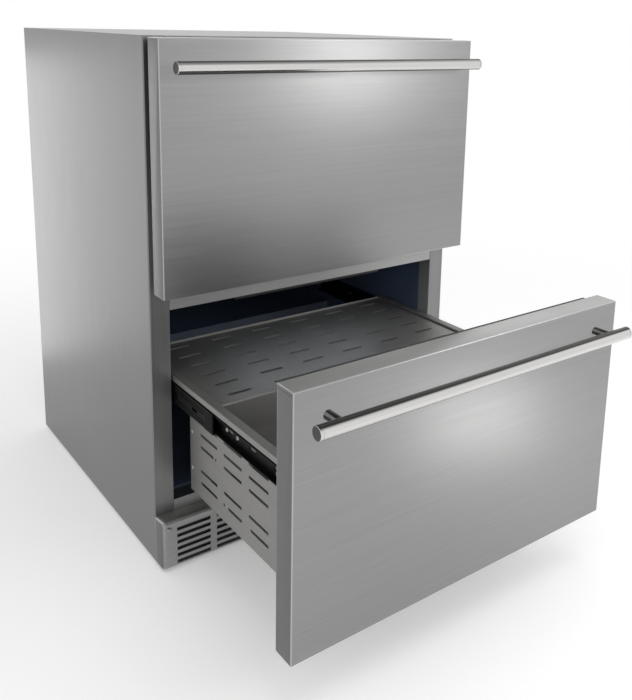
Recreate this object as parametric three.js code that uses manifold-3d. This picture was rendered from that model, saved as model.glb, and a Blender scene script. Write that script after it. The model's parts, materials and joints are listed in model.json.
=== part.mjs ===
// Undercounter drawer refrigerator with two pull-out drawers.
// Millimetres, +Z up, fronts facing -Y, +X to the right seen from the front.
// Inside this file y = 0 is the front face of the case; the last group moves the
// whole refrigerator so that its bounding box is centred over the origin.
import * as THREE from 'three';
import { mergeVertices } from 'three/addons/utils/BufferGeometryUtils.js';
import Module from 'manifold-3d';

const wasm = await Module();
wasm.setup();

// ---- driving dimensions: case ----
const caseWidth = 606;
const caseHeight = 842;
const caseDepth = 575;
const footStand = 6; // case underside above the floor
const sheet = 1.2; // steel sheet of the shell
const seat = 0.3; // gap that pieces in contact keep
const past = 1; // a cutter reaches this far past the faces it opens
const bendRadius = 2;
const stileWidth = 33;
const railDepth = 30; // how far the front frame reaches back
const topFlange = 15; // turned-down edge of the top panel
const topRailHeight = 36;
const middleRailHeight = 60;
const middleRailLap = 25; // its lower edge below the lower front's top
const sillHeight = 20;
const sillDrop = 4; // sill below the liner's floor

// ---- toe grille ----
const grilleHeight = 81;
const grilleReach = 28; // how far it stands out of the case
const grilleSheet = 1.5;
const grilleBend = 9;
const grilleBendSteps = 6;
const grilleMargin = 25;
const grilleColumns = 8;
const grilleRows = 6;
const grilleWeb = 11.5;
const grilleSlotHeight = 6.2;
const grilleSlotPitch = 11.6;
const grilleTopMargin = 13.5;
const grilleScrewInset = 11;
const grilleScrewDrop = 14;
const grilleScrewHead = 10;
const grilleScrewShank = 4.8;
const grilleScrewLength = 9;
const grilleScrewDome = 3; // height of its head

// ---- liner, insulation and machine space ----
const linerWall = 1.5;
const linerClearance = 1; // liner wall inside the stile lip
const linerRise = 104; // liner floor above the case underside
const ceilingDrop = 45; // liner ceiling below the case top
const rearFoam = 40; // liner's back in front of the case's rear edge
const humpDepth = 200; // step over the machine space
const humpHeight = 140;
const foamBehindHump = 25;
const foamUnderFloor = 20;
const rearInset = 3; // rear panel let in from the case's rear edge
const baseRim = 18;
const louvreLength = 120;
const louvreHeight = 5;
const louvrePitch = 18;
const louvreRows = 8;
const louvreRise = 45; // lowest louvre above the case underside
const louvreCentres = [-150, 40];

// ---- drawers ----
const frontSideGap = 2; // a front's edge in from the case's side
const frontThickness = 36;
const frontGap = 14; // between the case and the back of a front
const frontTopDrop = 2; // upper front below the case top
const frontSplit = 10; // between the two fronts
const frontGrilleGap = 3; // lower front above the grille
const lowerFrontHeight = 365;
const frontHem = 14;
const innerPanelSheet = 1.5;
const innerPanelFlange = 10;
const gasketInsetX = 10;
const gasketInsetZ = 5;
const gasketWidth = 12;
const gasketGroove = 4; // width and depth of the groove round the bellows
const drawerTravel = 350;
const middleShare = 0.4; // part of the drawer's travel made by the middle member
const slideRoom = 15.8; // between the liner's wall and a drawer box
const boxSheet = 1.2;
const rimDrop = 134; // rim below the top edge of the front
const rimWidth = 13.3;
const rimLip = 6;
const boxRearRoom = 50; // between a drawer box and the liner's back
const humpRoom = 15; // between the lower box and the liner's step
const lowerBoxRise = 26; // deep floor above the liner's
const upperBoxRise = 16; // upper box above the middle rail
const shallowRise = 12; // shallow floor above the liner's step

// ---- side slots of the drawer boxes ----
const slotLength = 54;
const slotHeight = 5;
const slotRowPitch = 20.4;
const slotRowGap = 3; // this row of the grid is left blank
const slotRows = 6;
const slotColumnPitch = 74;
const slotFirstFromRear = 36;
const slotFirstBelowRim = 56;
const slotColumns = 3;
const slotEndSides = 8;

// ---- shelf over the rear of the lower drawer ----
const shelfOverhang = 100; // shelf's front edge before the deep part's rear
const shelfBelowRim = 3;
const shelfSheet = 1.2;
const shelfSideClearance = 1.2;
const shelfSlotLength = 40;
const shelfSlotWidth = 6;
const shelfSlotPitchX = 82;
const shelfSlotPitchY = 42;
const shelfFirstRow = 24;

// ---- handles ----
const handleDiameter = 19;
const handleEndInset = 11; // bar's end in from the front's edge
const handleStandOff = 32; // bar axis in front of the face
const handleDrop = 40; // bar axis below the top edge
const postDiameter = 14;
const postInset = 38; // post axis in from the bar's end

// ---- telescopic slides ----
const slideHeight = 38;
const slideBelowRim = 29;
const slideSheet = 1.5;
const slideWallGap = 0.9; // ball gap between members
const slideWebGap = 0.8; // between the webs of outer and middle member
const outerDepth = 11.2;
const middleDepth = 9.2;
const innerDepth = 10;
const slideFrontInset = 4;
const outerLength = 356;
const middleInset = 13;
const middleLength = 340;
const innerLength = 340;
const endBlockLength = 22;
const endBlockProud = 0.35; // block outside the middle channel
const endBlockClearance = 0.45; // block around the inner member

// ---- feet ----
const footPadDiameter = 34;
const footStudDiameter = 10;
const footStudLength = 44;
const footInsetX = 48;
const footInsetFront = 30;
const footInsetRear = 55;
const bossDiameter = 18;
const bossHeight = 46;
const studClearance = 0.4;
const footPadBevel = 2;

// ---- cooling ----
const compressorRadius = 66;
const compressorHeight = 168;
const compressorFromSide = 173; // its axis in from the case's left side
const compressorFromRear = 107; // its axis in front of the case's rear edge
const compressorFootHeight = 12;
const compressorBowl = 14; // height of its rounded bottom
const compressorDome = 50; // height of its domed top
const compressorSteps = 4; // facets over the dome
const footPlateWidth = 190;
const footPlateDepth = 124;
const footPlateSheet = 3;
const grommetDiameter = 22;
const grommetInset = 16;
const condenserOffset = 240; // its middle from the compressor's axis
const condenserGap = 10.5; // behind the insulation
const condenserWidth = 200;
const condenserHeight = 170;
const condenserDepth = 44;
const condenserFins = 14;
const condenserFinSheet = 1;
const condenserFinCut = 0.7; // share of the depth that lies between the fins
const condenserFrame = 8;
const condenserLeg = 12;
const condenserBase = 14;
const shroudWall = 2;
const shroudDepth = 30;
const condenserFanDiameter = 150;
const fanTipClearance = 5;
const trayWidth = 150;
const trayDepth = 130;
const trayHeight = 16;
const trayWall = 2;
const coverWidth = 400;
const coverTopDrop = 23; // below the liner's ceiling
const coverHeight = 220;
const coverDepth = 40;
const coverSheet = 1.5;
const coverFanX = 120;
const coverFanDiameter = 104;
const intakeSlots = 6;
const intakeInset = 40;
const intakePitch = 34;
const intakeLength = 22;
const intakeHeight = 6;
const intakeRise = 14; // above the cover's lower edge
const motorArms = 3;
const motorArmWidth = 5;
const motorArmSheet = 3;
const motorArmHold = 4; // arm's end past the fan's mouth
const coilWidth = 230;
const coilHeight = 150;
const coilDepth = 24;
const coilX = -65;
const coilFins = 14;
const coilFinSheet = 1;
const coilFinCut = 0.6; // share of the depth that lies between the fins
const hubDiameter = 34;
const motorDiameter = 40;
const bladeCount = 5;
const bladePitch = 28; // degrees
const bladeThickness = 1.8;
const bladeDepth = 16; // along the shaft
const bladeRoot = 3; // blade's hold inside the hub
const bladeChord = 0.2; // share of the fan's diameter
const motorLength = 10;
const motorGap = 1; // hub behind the motor's face
const shaftRadius = 2.5;
const shaftClearance = 0.35;
const shaftReach = 0.6; // share of the hub that the shaft fills

// ---- lights, controls and inlet ----
const lightLength = 300;
const lightWidth = 18;
const lightHeight = 8;
const lightChamfer = 4;
const lightGap = 12; // behind the control panel
const lightSetback = 3; // lower light in front of the rail's rear edge
const panelWidth = 130;
const panelDepth = 44;
const panelHeight = 9;
const panelFront = 36;
const buttonDiameter = 12;
const buttonPitch = 32;
const buttonProud = 1.6;
const buttonBody = 5;
const buttonTravel = 1.2;
const buttonClearance = 0.4;
const inletWidth = 48;
const inletHeight = 28;
const inletFromSide = 98; // in from the case's right side
const inletRise = 64; // above the case underside
const inletDepth = 26;
const inletFlange = 4;
const inletFlangeSheet = 2;
const inletWall = 2.5;
const inletPinPitch = 9;
const inletPinWidth = 2;
const inletPinHeight = 4;
const inletPinDrop = 4; // pins' ends inside the mouth

// ---- places worked out from the driving dimensions ----
const halfWidth = caseWidth / 2;
const caseBottom = footStand;
const caseTop = caseBottom + caseHeight;
const openingHalf = halfWidth - stileWidth; // lip to lip
const linerHalf = openingHalf - linerClearance;
const innerCase = halfWidth - sheet - seat; // what fits between the side sheets
const topRailTop = caseTop - topFlange - seat;
const ceiling = caseTop - ceilingDrop;
const inletX = halfWidth - inletFromSide;
const inletZ = caseBottom + inletRise;
const linerFloor = caseBottom + linerRise;
const linerRear = caseDepth - rearFoam;
const humpFront = linerRear - humpDepth;
const humpTop = linerFloor + humpHeight;
const sillTop = linerFloor - sillDrop;
const frontHalf = halfWidth - frontSideGap;
const frontBack = -frontGap;
const frontFace = -frontGap - frontThickness;
const lowerFrontBottom = caseBottom + grilleHeight + frontGrilleGap;
const lowerFrontTop = lowerFrontBottom + lowerFrontHeight;
const upperFrontBottom = lowerFrontTop + frontSplit;
const upperFrontTop = caseTop - frontTopDrop;
const middleRailBottom = lowerFrontTop - middleRailLap;
const middleRailTop = middleRailBottom + middleRailHeight;
const boxHalfWidth = linerHalf - slideRoom;
const boxRear = linerRear - boxRearRoom;
const deepRear = humpFront - humpRoom;
const lowerBoxFloor = linerFloor + lowerBoxRise;
const upperBoxFloor = middleRailTop + upperBoxRise;
const shallowFloor = humpTop + shallowRise;
const shelfFront = deepRear - shelfOverhang;
const handleLength = 2 * (frontHalf - handleEndInset);
const rearPanelBack = caseDepth - rearInset;
const machineFront = humpFront + linerWall + foamBehindHump;
const machineTop = humpTop - linerWall - foamBehindHump;
const foamBottom = linerFloor - linerWall - foamUnderFloor;
const machineFloor = caseBottom + sheet + seat;
const compressorX = -halfWidth + compressorFromSide;
const compressorY = caseDepth - compressorFromRear;
const condenserX = compressorX + condenserOffset;
const condenserY = machineFront + condenserGap;
const shaftLength = motorLength + motorGap + bladeDepth * shaftReach;

const steel = { color: 0x9a9a98, roughness: 0.34, metalness: 0.9 };
const brightSteel = { color: 0xb4b4b2, roughness: 0.22, metalness: 1.0 };
const darkSteel = { color: 0x5d5d5c, roughness: 0.4, metalness: 0.85 };
const drawerSteel = { color: 0x7d7c79, roughness: 0.42, metalness: 0.8 };
const blackSteel = { color: 0x1b1b1d, roughness: 0.45, metalness: 0.5 };
const blackPlastic = { color: 0x151618, roughness: 0.55, metalness: 0 };
const linerPlastic = { color: 0x16233a, roughness: 0.5, metalness: 0 };
const foam = { color: 0xd9cfa8, roughness: 0.95, metalness: 0 };
const galvanised = { color: 0x8c8f90, roughness: 0.5, metalness: 0.8 };
const blackEnamel = { color: 0x111112, roughness: 0.35, metalness: 0.2 };
const aluminium = { color: 0xb9bbbd, roughness: 0.4, metalness: 0.9 };
const copper = { color: 0xa5623c, roughness: 0.35, metalness: 0.9 };
const gasketRubber = { color: 0x2b2b2c, roughness: 0.8, metalness: 0 };
const lens = { color: 0xcfdcf5, roughness: 0.3, metalness: 0 };
const greyPlastic = { color: 0x4a4c50, roughness: 0.5, metalness: 0 };

// ---- solids ----
function solidOf(geometry) {
  const bare = geometry.index ? geometry.toNonIndexed() : geometry.clone();
  bare.deleteAttribute('normal');
  bare.deleteAttribute('uv');
  const merged = mergeVertices(bare, 1e-4);
  return new wasm.Manifold(new wasm.Mesh({
    numProp: 3,
    vertProperties: new Float32Array(merged.attributes.position.array),
    triVerts: new Uint32Array(merged.index.array),
  }));
}

function geometryOf(solid) {
  const mesh = solid.getMesh();
  const geometry = new THREE.BufferGeometry();
  geometry.setAttribute('position', new THREE.BufferAttribute(mesh.vertProperties, 3));
  geometry.setIndex(new THREE.BufferAttribute(mesh.triVerts, 1));
  return geometry;
}

function block(x0, x1, y0, y1, z0, z1) {
  const box = new THREE.BoxGeometry(x1 - x0, y1 - y0, z1 - z0);
  box.translate((x0 + x1) / 2, (y0 + y1) / 2, (z0 + z1) / 2);
  return solidOf(box);
}

// A block whose x range is given as distances from the middle, on the left (-1) or right (1).
function sideBlock(side, near, far, y0, y1, z0, z1) {
  return block(Math.min(side * near, side * far), Math.max(side * near, side * far), y0, y1, z0, z1);
}

function bothSides(make) {
  return [-1, 1].map(make);
}

// A round bar from one point along an axis; axis is 'x', 'y' or 'z'.
function bar(axis, radius, length, x, y, z, sides = 24) {
  const cylinder = new THREE.CylinderGeometry(radius, radius, length, sides);
  if (axis === 'x') cylinder.rotateZ(-Math.PI / 2);
  if (axis === 'z') cylinder.rotateX(Math.PI / 2);
  const middle = length / 2;
  const dx = axis === 'x' ? middle : 0;
  const dy = axis === 'y' ? middle : 0;
  const dz = axis === 'z' ? middle : 0;
  cylinder.translate(x + dx, y + dy, z + dz);
  return solidOf(cylinder);
}

// A section drawn in (y, z), run along x.
function alongX(shape, x0, x1, curveSegments = 5) {
  const settings = { depth: x1 - x0, bevelEnabled: false, curveSegments };
  const geometry = new THREE.ExtrudeGeometry(shape, settings);
  geometry.applyMatrix4(new THREE.Matrix4().set(0, 0, 1, x0, 1, 0, 0, 0, 0, 1, 0, 0, 0, 0, 0, 1));
  return solidOf(geometry);
}

// A section drawn in (x, y), run along z.
function alongZ(shape, z0, z1, curveSegments = 4) {
  const settings = { depth: z1 - z0, bevelEnabled: false, curveSegments };
  const geometry = new THREE.ExtrudeGeometry(shape, settings);
  geometry.translate(0, 0, z0);
  return solidOf(geometry);
}

function outline(points) {
  return new THREE.Shape(points.map(([a, b]) => new THREE.Vector2(a, b)));
}

function joined(parts) {
  return parts.reduce((whole, part) => whole.add(part));
}

function cutBy(whole, parts) {
  return parts.length ? whole.subtract(joined(parts)) : whole;
}

// An open-fronted or open-topped shell is a block less the same block inset by its wall.
function inset(wall, [x0, x1, y0, y1, z0, z1], open = {}) {
  const move = (face, away) => (open[face] ? -away * past : away * wall);
  return block(
    x0 + move('left', 1), x1 + move('right', -1),
    y0 + move('front', 1), y1 + move('back', -1),
    z0 + move('bottom', 1), z1 + move('top', -1),
  );
}

// ---- the assembly ----
const refrigerator = new THREE.Group();

function piece(name, solid, finish, parent = refrigerator) {
  const mesh = new THREE.Mesh(geometryOf(solid), new THREE.MeshStandardMaterial(finish));
  mesh.name = name;
  parent.add(mesh);
  return mesh;
}

// ---- case ----
// One bent sheet: side, stile with a rounded outer corner, and the lip behind it.
function sidePanel(side) {
  const section = new THREE.Shape();
  section.moveTo(halfWidth, caseDepth);
  section.lineTo(halfWidth, bendRadius);
  section.absarc(halfWidth - bendRadius, bendRadius, bendRadius, 0, -Math.PI / 2, true);
  section.lineTo(openingHalf, 0);
  section.lineTo(openingHalf, railDepth);
  section.lineTo(openingHalf + sheet, railDepth);
  section.lineTo(openingHalf + sheet, sheet);
  section.lineTo(halfWidth - sheet, sheet);
  section.lineTo(halfWidth - sheet, caseDepth);
  section.closePath();
  const right = alongZ(section, caseBottom, caseTop);
  return side > 0 ? right : right.mirror([1, 0, 0]);
}

// Room for the lips behind both stiles, with the seat gap round them.
function lipRoom(z0, z1) {
  return bothSides((side) => sideBlock(
    side, openingHalf - seat, openingHalf + sheet + seat, -past, railDepth + seat, z0, z1,
  ));
}

// Top sheet with its turned-down edge all round, open below.
function topPanel() {
  const bounds = [-innerCase, innerCase, 0, caseDepth, caseTop - topFlange, caseTop];
  const below = caseTop - topFlange - past;
  const stileRoom = bothSides((side) => sideBlock(
    side, openingHalf - seat, halfWidth + past, -past, sheet + seat, below, caseTop + past,
  ));
  const room = inset(sheet, bounds, { bottom: true });
  return cutBy(block(...bounds), [room, ...stileRoom, ...lipRoom(below, caseTop + past)]);
}

// Channel across the opening, its flanges turned back into the case.
function frontRail(bottom, top) {
  const reach = openingHalf - seat;
  const bounds = [-reach, reach, 0, railDepth, bottom, top];
  return cutBy(block(...bounds), [inset(sheet, bounds, { left: true, right: true, back: true })]);
}

function toeGrille() {
  const top = caseBottom + grilleHeight;
  const section = (wall, beyond) => {
    const shape = new THREE.Shape();
    const radius = grilleBend - wall;
    const face = -grilleReach + wall;
    shape.moveTo(-seat + beyond, caseBottom - beyond);
    shape.lineTo(-seat + beyond, top - wall);
    shape.lineTo(face + radius, top - wall);
    shape.absarc(face + radius, top - wall - radius, radius, Math.PI / 2, Math.PI, false);
    shape.lineTo(face, caseBottom - beyond);
    shape.closePath();
    return shape;
  };
  const roomHalf = halfWidth - grilleSheet;
  const room = alongX(section(grilleSheet, past), -roomHalf, roomHalf, grilleBendSteps);
  const shell = cutBy(alongX(section(0, 0), -halfWidth, halfWidth, grilleBendSteps), [room]);
  const clear = caseWidth - 2 * grilleMargin;
  const slotWidth = (clear - (grilleColumns - 1) * grilleWeb) / grilleColumns;
  const front = -grilleReach - past;
  const back = -grilleReach + grilleSheet + past;
  const slots = [];
  for (let column = 0; column < grilleColumns; column += 1) {
    const x = -clear / 2 + column * (slotWidth + grilleWeb);
    for (let row = 0; row < grilleRows; row += 1) {
      const z = top - grilleTopMargin - row * grilleSlotPitch;
      slots.push(block(x, x + slotWidth, front, back, z - grilleSlotHeight, z));
    }
  }
  const holes = bothSides((side) => bar(
    'y', grilleScrewShank / 2 + seat, back - front,
    side * (halfWidth - grilleScrewInset), front, top - grilleScrewDrop, 16,
  ));
  return cutBy(shell, [...slots, ...holes]);
}

// Domed head on the grille's face, shank through the sheet.
function grilleScrew(side) {
  const x = side * (halfWidth - grilleScrewInset);
  const z = caseBottom + grilleHeight - grilleScrewDrop;
  const profile = [
    new THREE.Vector2(0, -grilleScrewLength),
    new THREE.Vector2(grilleScrewShank / 2, -grilleScrewLength),
    new THREE.Vector2(grilleScrewShank / 2, 0),
    new THREE.Vector2(grilleScrewHead / 2, 0),
    new THREE.Vector2(grilleScrewHead / 2, grilleScrewDome * 0.4),
    new THREE.Vector2(grilleScrewHead / 3, grilleScrewDome * 0.85),
    new THREE.Vector2(0, grilleScrewDome),
  ];
  const screw = new THREE.LatheGeometry(profile, 16);
  screw.rotateX(Math.PI);
  screw.translate(x, -grilleReach - seat, z);
  return solidOf(screw);
}

function footPlaces() {
  const places = [];
  for (const [depth, y] of [['front', footInsetFront], ['rear', caseDepth - footInsetRear]]) {
    for (const [hand, side] of [['left', -1], ['right', 1]]) {
      places.push({ name: `${depth}_${hand}`, x: side * (halfWidth - footInsetX), y });
    }
  }
  return places;
}

// Floor sheet with a turned-up rim and four threaded bosses for the feet.
function basePan() {
  const front = sheet + seat;
  const rear = rearPanelBack - sheet - seat;
  const bounds = [-innerCase, innerCase, front, rear, caseBottom, caseBottom + baseRim];
  const room = inset(sheet, bounds, { top: true });
  const pan = cutBy(block(...bounds), [room, ...lipRoom(caseBottom - past, caseTop)]);
  const bosses = footPlaces().map(({ x, y }) => bar(
    'z', bossDiameter / 2, bossHeight, x, y, caseBottom, 20,
  ));
  const bores = footPlaces().map(({ x, y }) => bar(
    'z', footStudDiameter / 2 + studClearance, bossHeight + 2 * past, x, y, caseBottom - past, 20,
  ));
  return cutBy(joined([pan, ...bosses]), bores);
}

function levellingFoot({ x, y }) {
  const padTop = footStand - seat;
  const profile = [
    new THREE.Vector2(0, 0),
    new THREE.Vector2(footPadDiameter / 2, 0),
    new THREE.Vector2(footPadDiameter / 2, padTop - footPadBevel),
    new THREE.Vector2(footPadDiameter / 2 - footPadBevel, padTop),
    new THREE.Vector2(footStudDiameter / 2, padTop),
    new THREE.Vector2(footStudDiameter / 2, padTop + footStudLength),
    new THREE.Vector2(0, padTop + footStudLength),
  ];
  const foot = new THREE.LatheGeometry(profile, 20);
  foot.rotateX(Math.PI / 2);
  foot.translate(x, y, 0);
  return solidOf(foot);
}

// Section of the cold space, seen from the side, grown outwards by a margin.
function coldSection(margin, front) {
  return outline([
    [front, linerFloor - margin],
    [humpFront + margin, linerFloor - margin],
    [humpFront + margin, humpTop - margin],
    [linerRear + margin, humpTop - margin],
    [linerRear + margin, ceiling + margin],
    [front, ceiling + margin],
  ]);
}

function innerLiner() {
  const front = railDepth + 2 * seat;
  const outerHalf = linerHalf + linerWall;
  const outer = alongX(coldSection(linerWall, front), -outerHalf, outerHalf);
  return cutBy(outer, [alongX(coldSection(0, front - past), -linerHalf, linerHalf)]);
}

function insulation() {
  const front = railDepth + 2 * seat;
  const back = rearPanelBack - sheet - seat;
  const top = caseTop - sheet - seat;
  const reach = innerCase - sheet - seat;
  const body = alongX(outline([
    [front, foamBottom],
    [machineFront, foamBottom],
    [machineFront, machineTop],
    [back, machineTop],
    [back, top],
    [front, top],
  ]), -reach, reach);
  const margin = linerWall + seat;
  const roomHalf = linerHalf + margin;
  return cutBy(body, [alongX(coldSection(margin, front - past), -roomHalf, roomHalf)]);
}

// Back of the case with louvre slots low down and a hole for the inlet.
function rearPanel() {
  const top = caseTop - topFlange - seat;
  const front = rearPanelBack - sheet;
  const plate = block(-innerCase, innerCase, front, rearPanelBack, caseBottom + seat, top);
  const through = [front - past, rearPanelBack + past];
  const louvres = [];
  for (const centre of louvreCentres) {
    const x = centre - louvreLength / 2;
    for (let row = 0; row < louvreRows; row += 1) {
      const z = caseBottom + louvreRise + row * louvrePitch;
      louvres.push(block(x, x + louvreLength, ...through, z, z + louvreHeight));
    }
  }
  const holeX = inletWidth / 2 - inletFlange + seat;
  const holeZ = inletHeight / 2 - inletFlange + seat;
  const hole = block(inletX - holeX, inletX + holeX, ...through, inletZ - holeZ, inletZ + holeZ);
  return cutBy(plate, [...louvres, hole]);
}

// Recessed mains inlet: flange outside the rear panel, body inside, three blades' room.
function powerInlet() {
  const face = rearPanelBack + seat;
  const outerFace = face + inletFlangeSheet;
  const flange = block(
    inletX - inletWidth / 2, inletX + inletWidth / 2, face, outerFace,
    inletZ - inletHeight / 2, inletZ + inletHeight / 2,
  );
  const halfX = inletWidth / 2 - inletFlange;
  const halfZ = inletHeight / 2 - inletFlange;
  const back = face - inletDepth;
  const bounds = [inletX - halfX, inletX + halfX, back, outerFace, inletZ - halfZ, inletZ + halfZ];
  const pins = [-inletPinPitch, 0, inletPinPitch].map((dx) => block(
    inletX + dx - inletPinWidth / 2, inletX + dx + inletPinWidth / 2,
    back + inletWall / 2, face - inletPinDrop,
    inletZ - inletPinHeight / 2, inletZ + inletPinHeight / 2,
  ));
  return joined([cutBy(flange.add(block(...bounds)), [inset(inletWall, bounds, { back: true })]), ...pins]);
}

// ---- machine space ----
// Domed shell on a pressed foot plate with four rubber-mounted corners.
function compressor() {
  const bottom = machineFloor + compressorFootHeight;
  const top = bottom + compressorHeight;
  const r = compressorRadius;
  const profile = [
    new THREE.Vector2(0, bottom),
    new THREE.Vector2(r - compressorBowl, bottom),
    new THREE.Vector2(r, bottom + compressorBowl),
  ];
  for (let step = 0; step < compressorSteps; step += 1) {
    const angle = (step / compressorSteps) * (Math.PI / 2);
    const z = top - compressorDome * (1 - Math.sin(angle));
    profile.push(new THREE.Vector2(r * Math.cos(angle), z));
  }
  profile.push(new THREE.Vector2(0, top));
  const shell = new THREE.LatheGeometry(profile, 24);
  shell.rotateX(Math.PI / 2);
  shell.translate(compressorX, compressorY, 0);
  const halfX = footPlateWidth / 2;
  const halfY = footPlateDepth / 2;
  const plate = block(
    compressorX - halfX, compressorX + halfX, compressorY - halfY, compressorY + halfY,
    bottom - footPlateSheet, bottom + compressorBowl / 4,
  );
  const grommets = [];
  for (const sx of [-1, 1]) {
    for (const sy of [-1, 1]) {
      const x = compressorX + sx * (halfX - grommetInset);
      const y = compressorY + sy * (halfY - grommetInset);
      grommets.push(bar('z', grommetDiameter / 2, compressorFootHeight, x, y, machineFloor, 12));
    }
  }
  return joined([solidOf(shell), plate, ...grommets]);
}

// Finned block with the fan shroud fixed to its back.
function condenser() {
  const x0 = condenserX - condenserWidth / 2;
  const x1 = condenserX + condenserWidth / 2;
  const bottom = machineFloor + condenserBase;
  const top = bottom + condenserHeight;
  const back = condenserY + condenserDepth;
  const pitch = condenserHeight / condenserFins;
  const gaps = [];
  for (let fin = 0; fin < condenserFins; fin += 1) {
    const z = bottom + fin * pitch + condenserFinSheet;
    gaps.push(block(
      x0 + condenserFrame, x1 - condenserFrame, condenserY - past,
      condenserY + condenserDepth * condenserFinCut, z, z + pitch - condenserFinSheet,
    ));
  }
  const body = block(x0, x1, condenserY, back + shroudDepth, bottom, top);
  const legs = [x0, x1 - condenserLeg].map((x) => block(
    x, x + condenserLeg, condenserY, back + shroudDepth, machineFloor, bottom + past,
  ));
  const centre = [condenserX, back, (bottom + top) / 2];
  const mouthRadius = condenserFanDiameter / 2 + fanTipClearance;
  const mouth = bar('y', mouthRadius, shroudDepth, centre[0], back + shroudWall, centre[2], 32);
  const motor = bar('y', motorDiameter / 2, motorLength, ...centre, 20);
  const shaft = bar('y', shaftRadius, shaftLength, ...centre, 12);
  return joined([cutBy(joined([body, ...legs]), [...gaps, mouth]), motor, shaft]);
}

// Hub with pitched blades, its bore running on the motor's shaft.
function fanBlade(diameter) {
  const hub = bar('y', hubDiameter / 2, bladeDepth, 0, 0, 0, 20);
  const blades = [];
  const root = hubDiameter / 2 - bladeRoot;
  const length = diameter / 2 - root;
  for (let n = 0; n < bladeCount; n += 1) {
    const blade = new THREE.BoxGeometry(diameter * bladeChord, bladeThickness, length);
    blade.rotateZ(THREE.MathUtils.degToRad(bladePitch));
    blade.translate(0, bladeDepth / 2, root + length / 2);
    blade.rotateY((n / bladeCount) * 2 * Math.PI);
    blades.push(solidOf(blade));
  }
  const boreDepth = bladeDepth * shaftReach + seat;
  const bore = bar('y', shaftRadius + shaftClearance, boreDepth + past, 0, -past, 0, 16);
  return cutBy(joined([hub, ...blades]), [bore]);
}

function drainTray() {
  const bottom = machineFloor + compressorFootHeight + compressorHeight + seat;
  const bounds = [
    compressorX - trayWidth / 2, compressorX + trayWidth / 2,
    compressorY - trayDepth / 2, compressorY + trayDepth / 2,
    bottom, bottom + trayHeight,
  ];
  return cutBy(block(...bounds), [inset(trayWall, bounds, { top: true })]);
}

// ---- cold side ----
const coverBottom = ceiling - coverTopDrop - coverHeight;
const coverBack = linerRear - seat;
const coverFront = coverBack - coverDepth;
const coverFanZ = coverBottom + coverHeight / 2;

function evaporatorCover() {
  const half = coverWidth / 2;
  const bounds = [-half, half, coverFront, coverBack, coverBottom, coverBottom + coverHeight];
  const shell = cutBy(block(...bounds), [inset(coverSheet, bounds, { back: true })]);
  const through = [coverFront - past, coverFront + coverSheet + past];
  const mouthRadius = coverFanDiameter / 2 + fanTipClearance;
  const mouthLength = coverSheet + 2 * past;
  const mouth = bar('y', mouthRadius, mouthLength, coverFanX, coverFront - past, coverFanZ, 28);
  const intake = [];
  for (let n = 0; n < intakeSlots; n += 1) {
    const x = -half + intakeInset + n * intakePitch;
    const z = coverBottom + intakeRise;
    intake.push(block(x, x + intakeLength, ...through, z, z + intakeHeight));
  }
  const arms = [];
  for (let n = 0; n < motorArms; n += 1) {
    const length = mouthRadius + motorArmHold;
    const arm = new THREE.BoxGeometry(motorArmWidth, motorArmSheet, length);
    arm.translate(0, 0, length / 2);
    arm.rotateY((n / motorArms) * 2 * Math.PI);
    arm.translate(coverFanX, coverFront + motorArmSheet / 2, coverFanZ);
    arms.push(solidOf(arm));
  }
  const motor = bar('y', motorDiameter / 2, motorLength, coverFanX, coverFront, coverFanZ, 20);
  const shaft = bar('y', shaftRadius, shaftLength, coverFanX, coverFront, coverFanZ, 12);
  return joined([cutBy(shell, [mouth, ...intake]), ...arms, motor, shaft]);
}

function evaporatorCoil() {
  const x0 = coilX - coilWidth / 2;
  const z0 = coverFanZ - coilHeight / 2;
  const front = coverBack - coilDepth;
  const pitch = coilWidth / coilFins;
  const gaps = [];
  for (let fin = 0; fin < coilFins; fin += 1) {
    const x = x0 + fin * pitch + coilFinSheet;
    gaps.push(block(
      x, x + pitch - coilFinSheet, front - past, front + coilDepth * coilFinCut,
      z0 - past, z0 + coilHeight + past,
    ));
  }
  return cutBy(block(x0, x0 + coilWidth, front, coverBack, z0, z0 + coilHeight), gaps);
}

function lightBar(front, top) {
  const half = lightLength / 2;
  const back = front + lightWidth;
  const bottom = top - lightHeight;
  return alongX(outline([
    [front, top],
    [front, bottom + lightChamfer],
    [front + lightChamfer, bottom],
    [back - lightChamfer, bottom],
    [back, bottom + lightChamfer],
    [back, top],
  ]), -half, half);
}

const panelTop = ceiling - seat;
const panelBottom = panelTop - panelHeight;
const buttonY = panelFront + panelDepth / 2;
const buttonNames = ['colder', 'warmer', 'light'];
const buttonX = (n) => (n - (buttonNames.length - 1) / 2) * buttonPitch;

function controlPanel() {
  const half = panelWidth / 2;
  const body = block(-half, half, panelFront, panelFront + panelDepth, panelBottom, panelTop);
  const pocketDepth = buttonBody - buttonProud + buttonTravel + seat + past;
  const pocketRadius = buttonDiameter / 2 + buttonClearance;
  const pockets = buttonNames.map((name, n) => bar(
    'z', pocketRadius, pocketDepth, buttonX(n), buttonY, panelBottom - past, 20,
  ));
  return cutBy(body, pockets);
}

function controlButton(n) {
  return bar('z', buttonDiameter / 2, buttonBody, buttonX(n), buttonY, panelBottom - buttonProud, 20);
}

// ---- telescopic slides ----
// Members are channels along y: depth is measured from the liner wall towards the drawer box.
function slideMember(side, web, flange, halfHeight, y0, length, z) {
  const inward = Math.sign(flange - web);
  const body = sideBlock(side, web, flange, y0, y0 + length, z - halfHeight, z + halfHeight);
  const roomHalf = halfHeight - slideSheet;
  const room = sideBlock(
    side, web + inward * slideSheet, flange + inward * past, y0 - past, y0 + length + past,
    z - roomHalf, z + roomHalf,
  );
  return cutBy(body, [room]);
}

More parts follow.
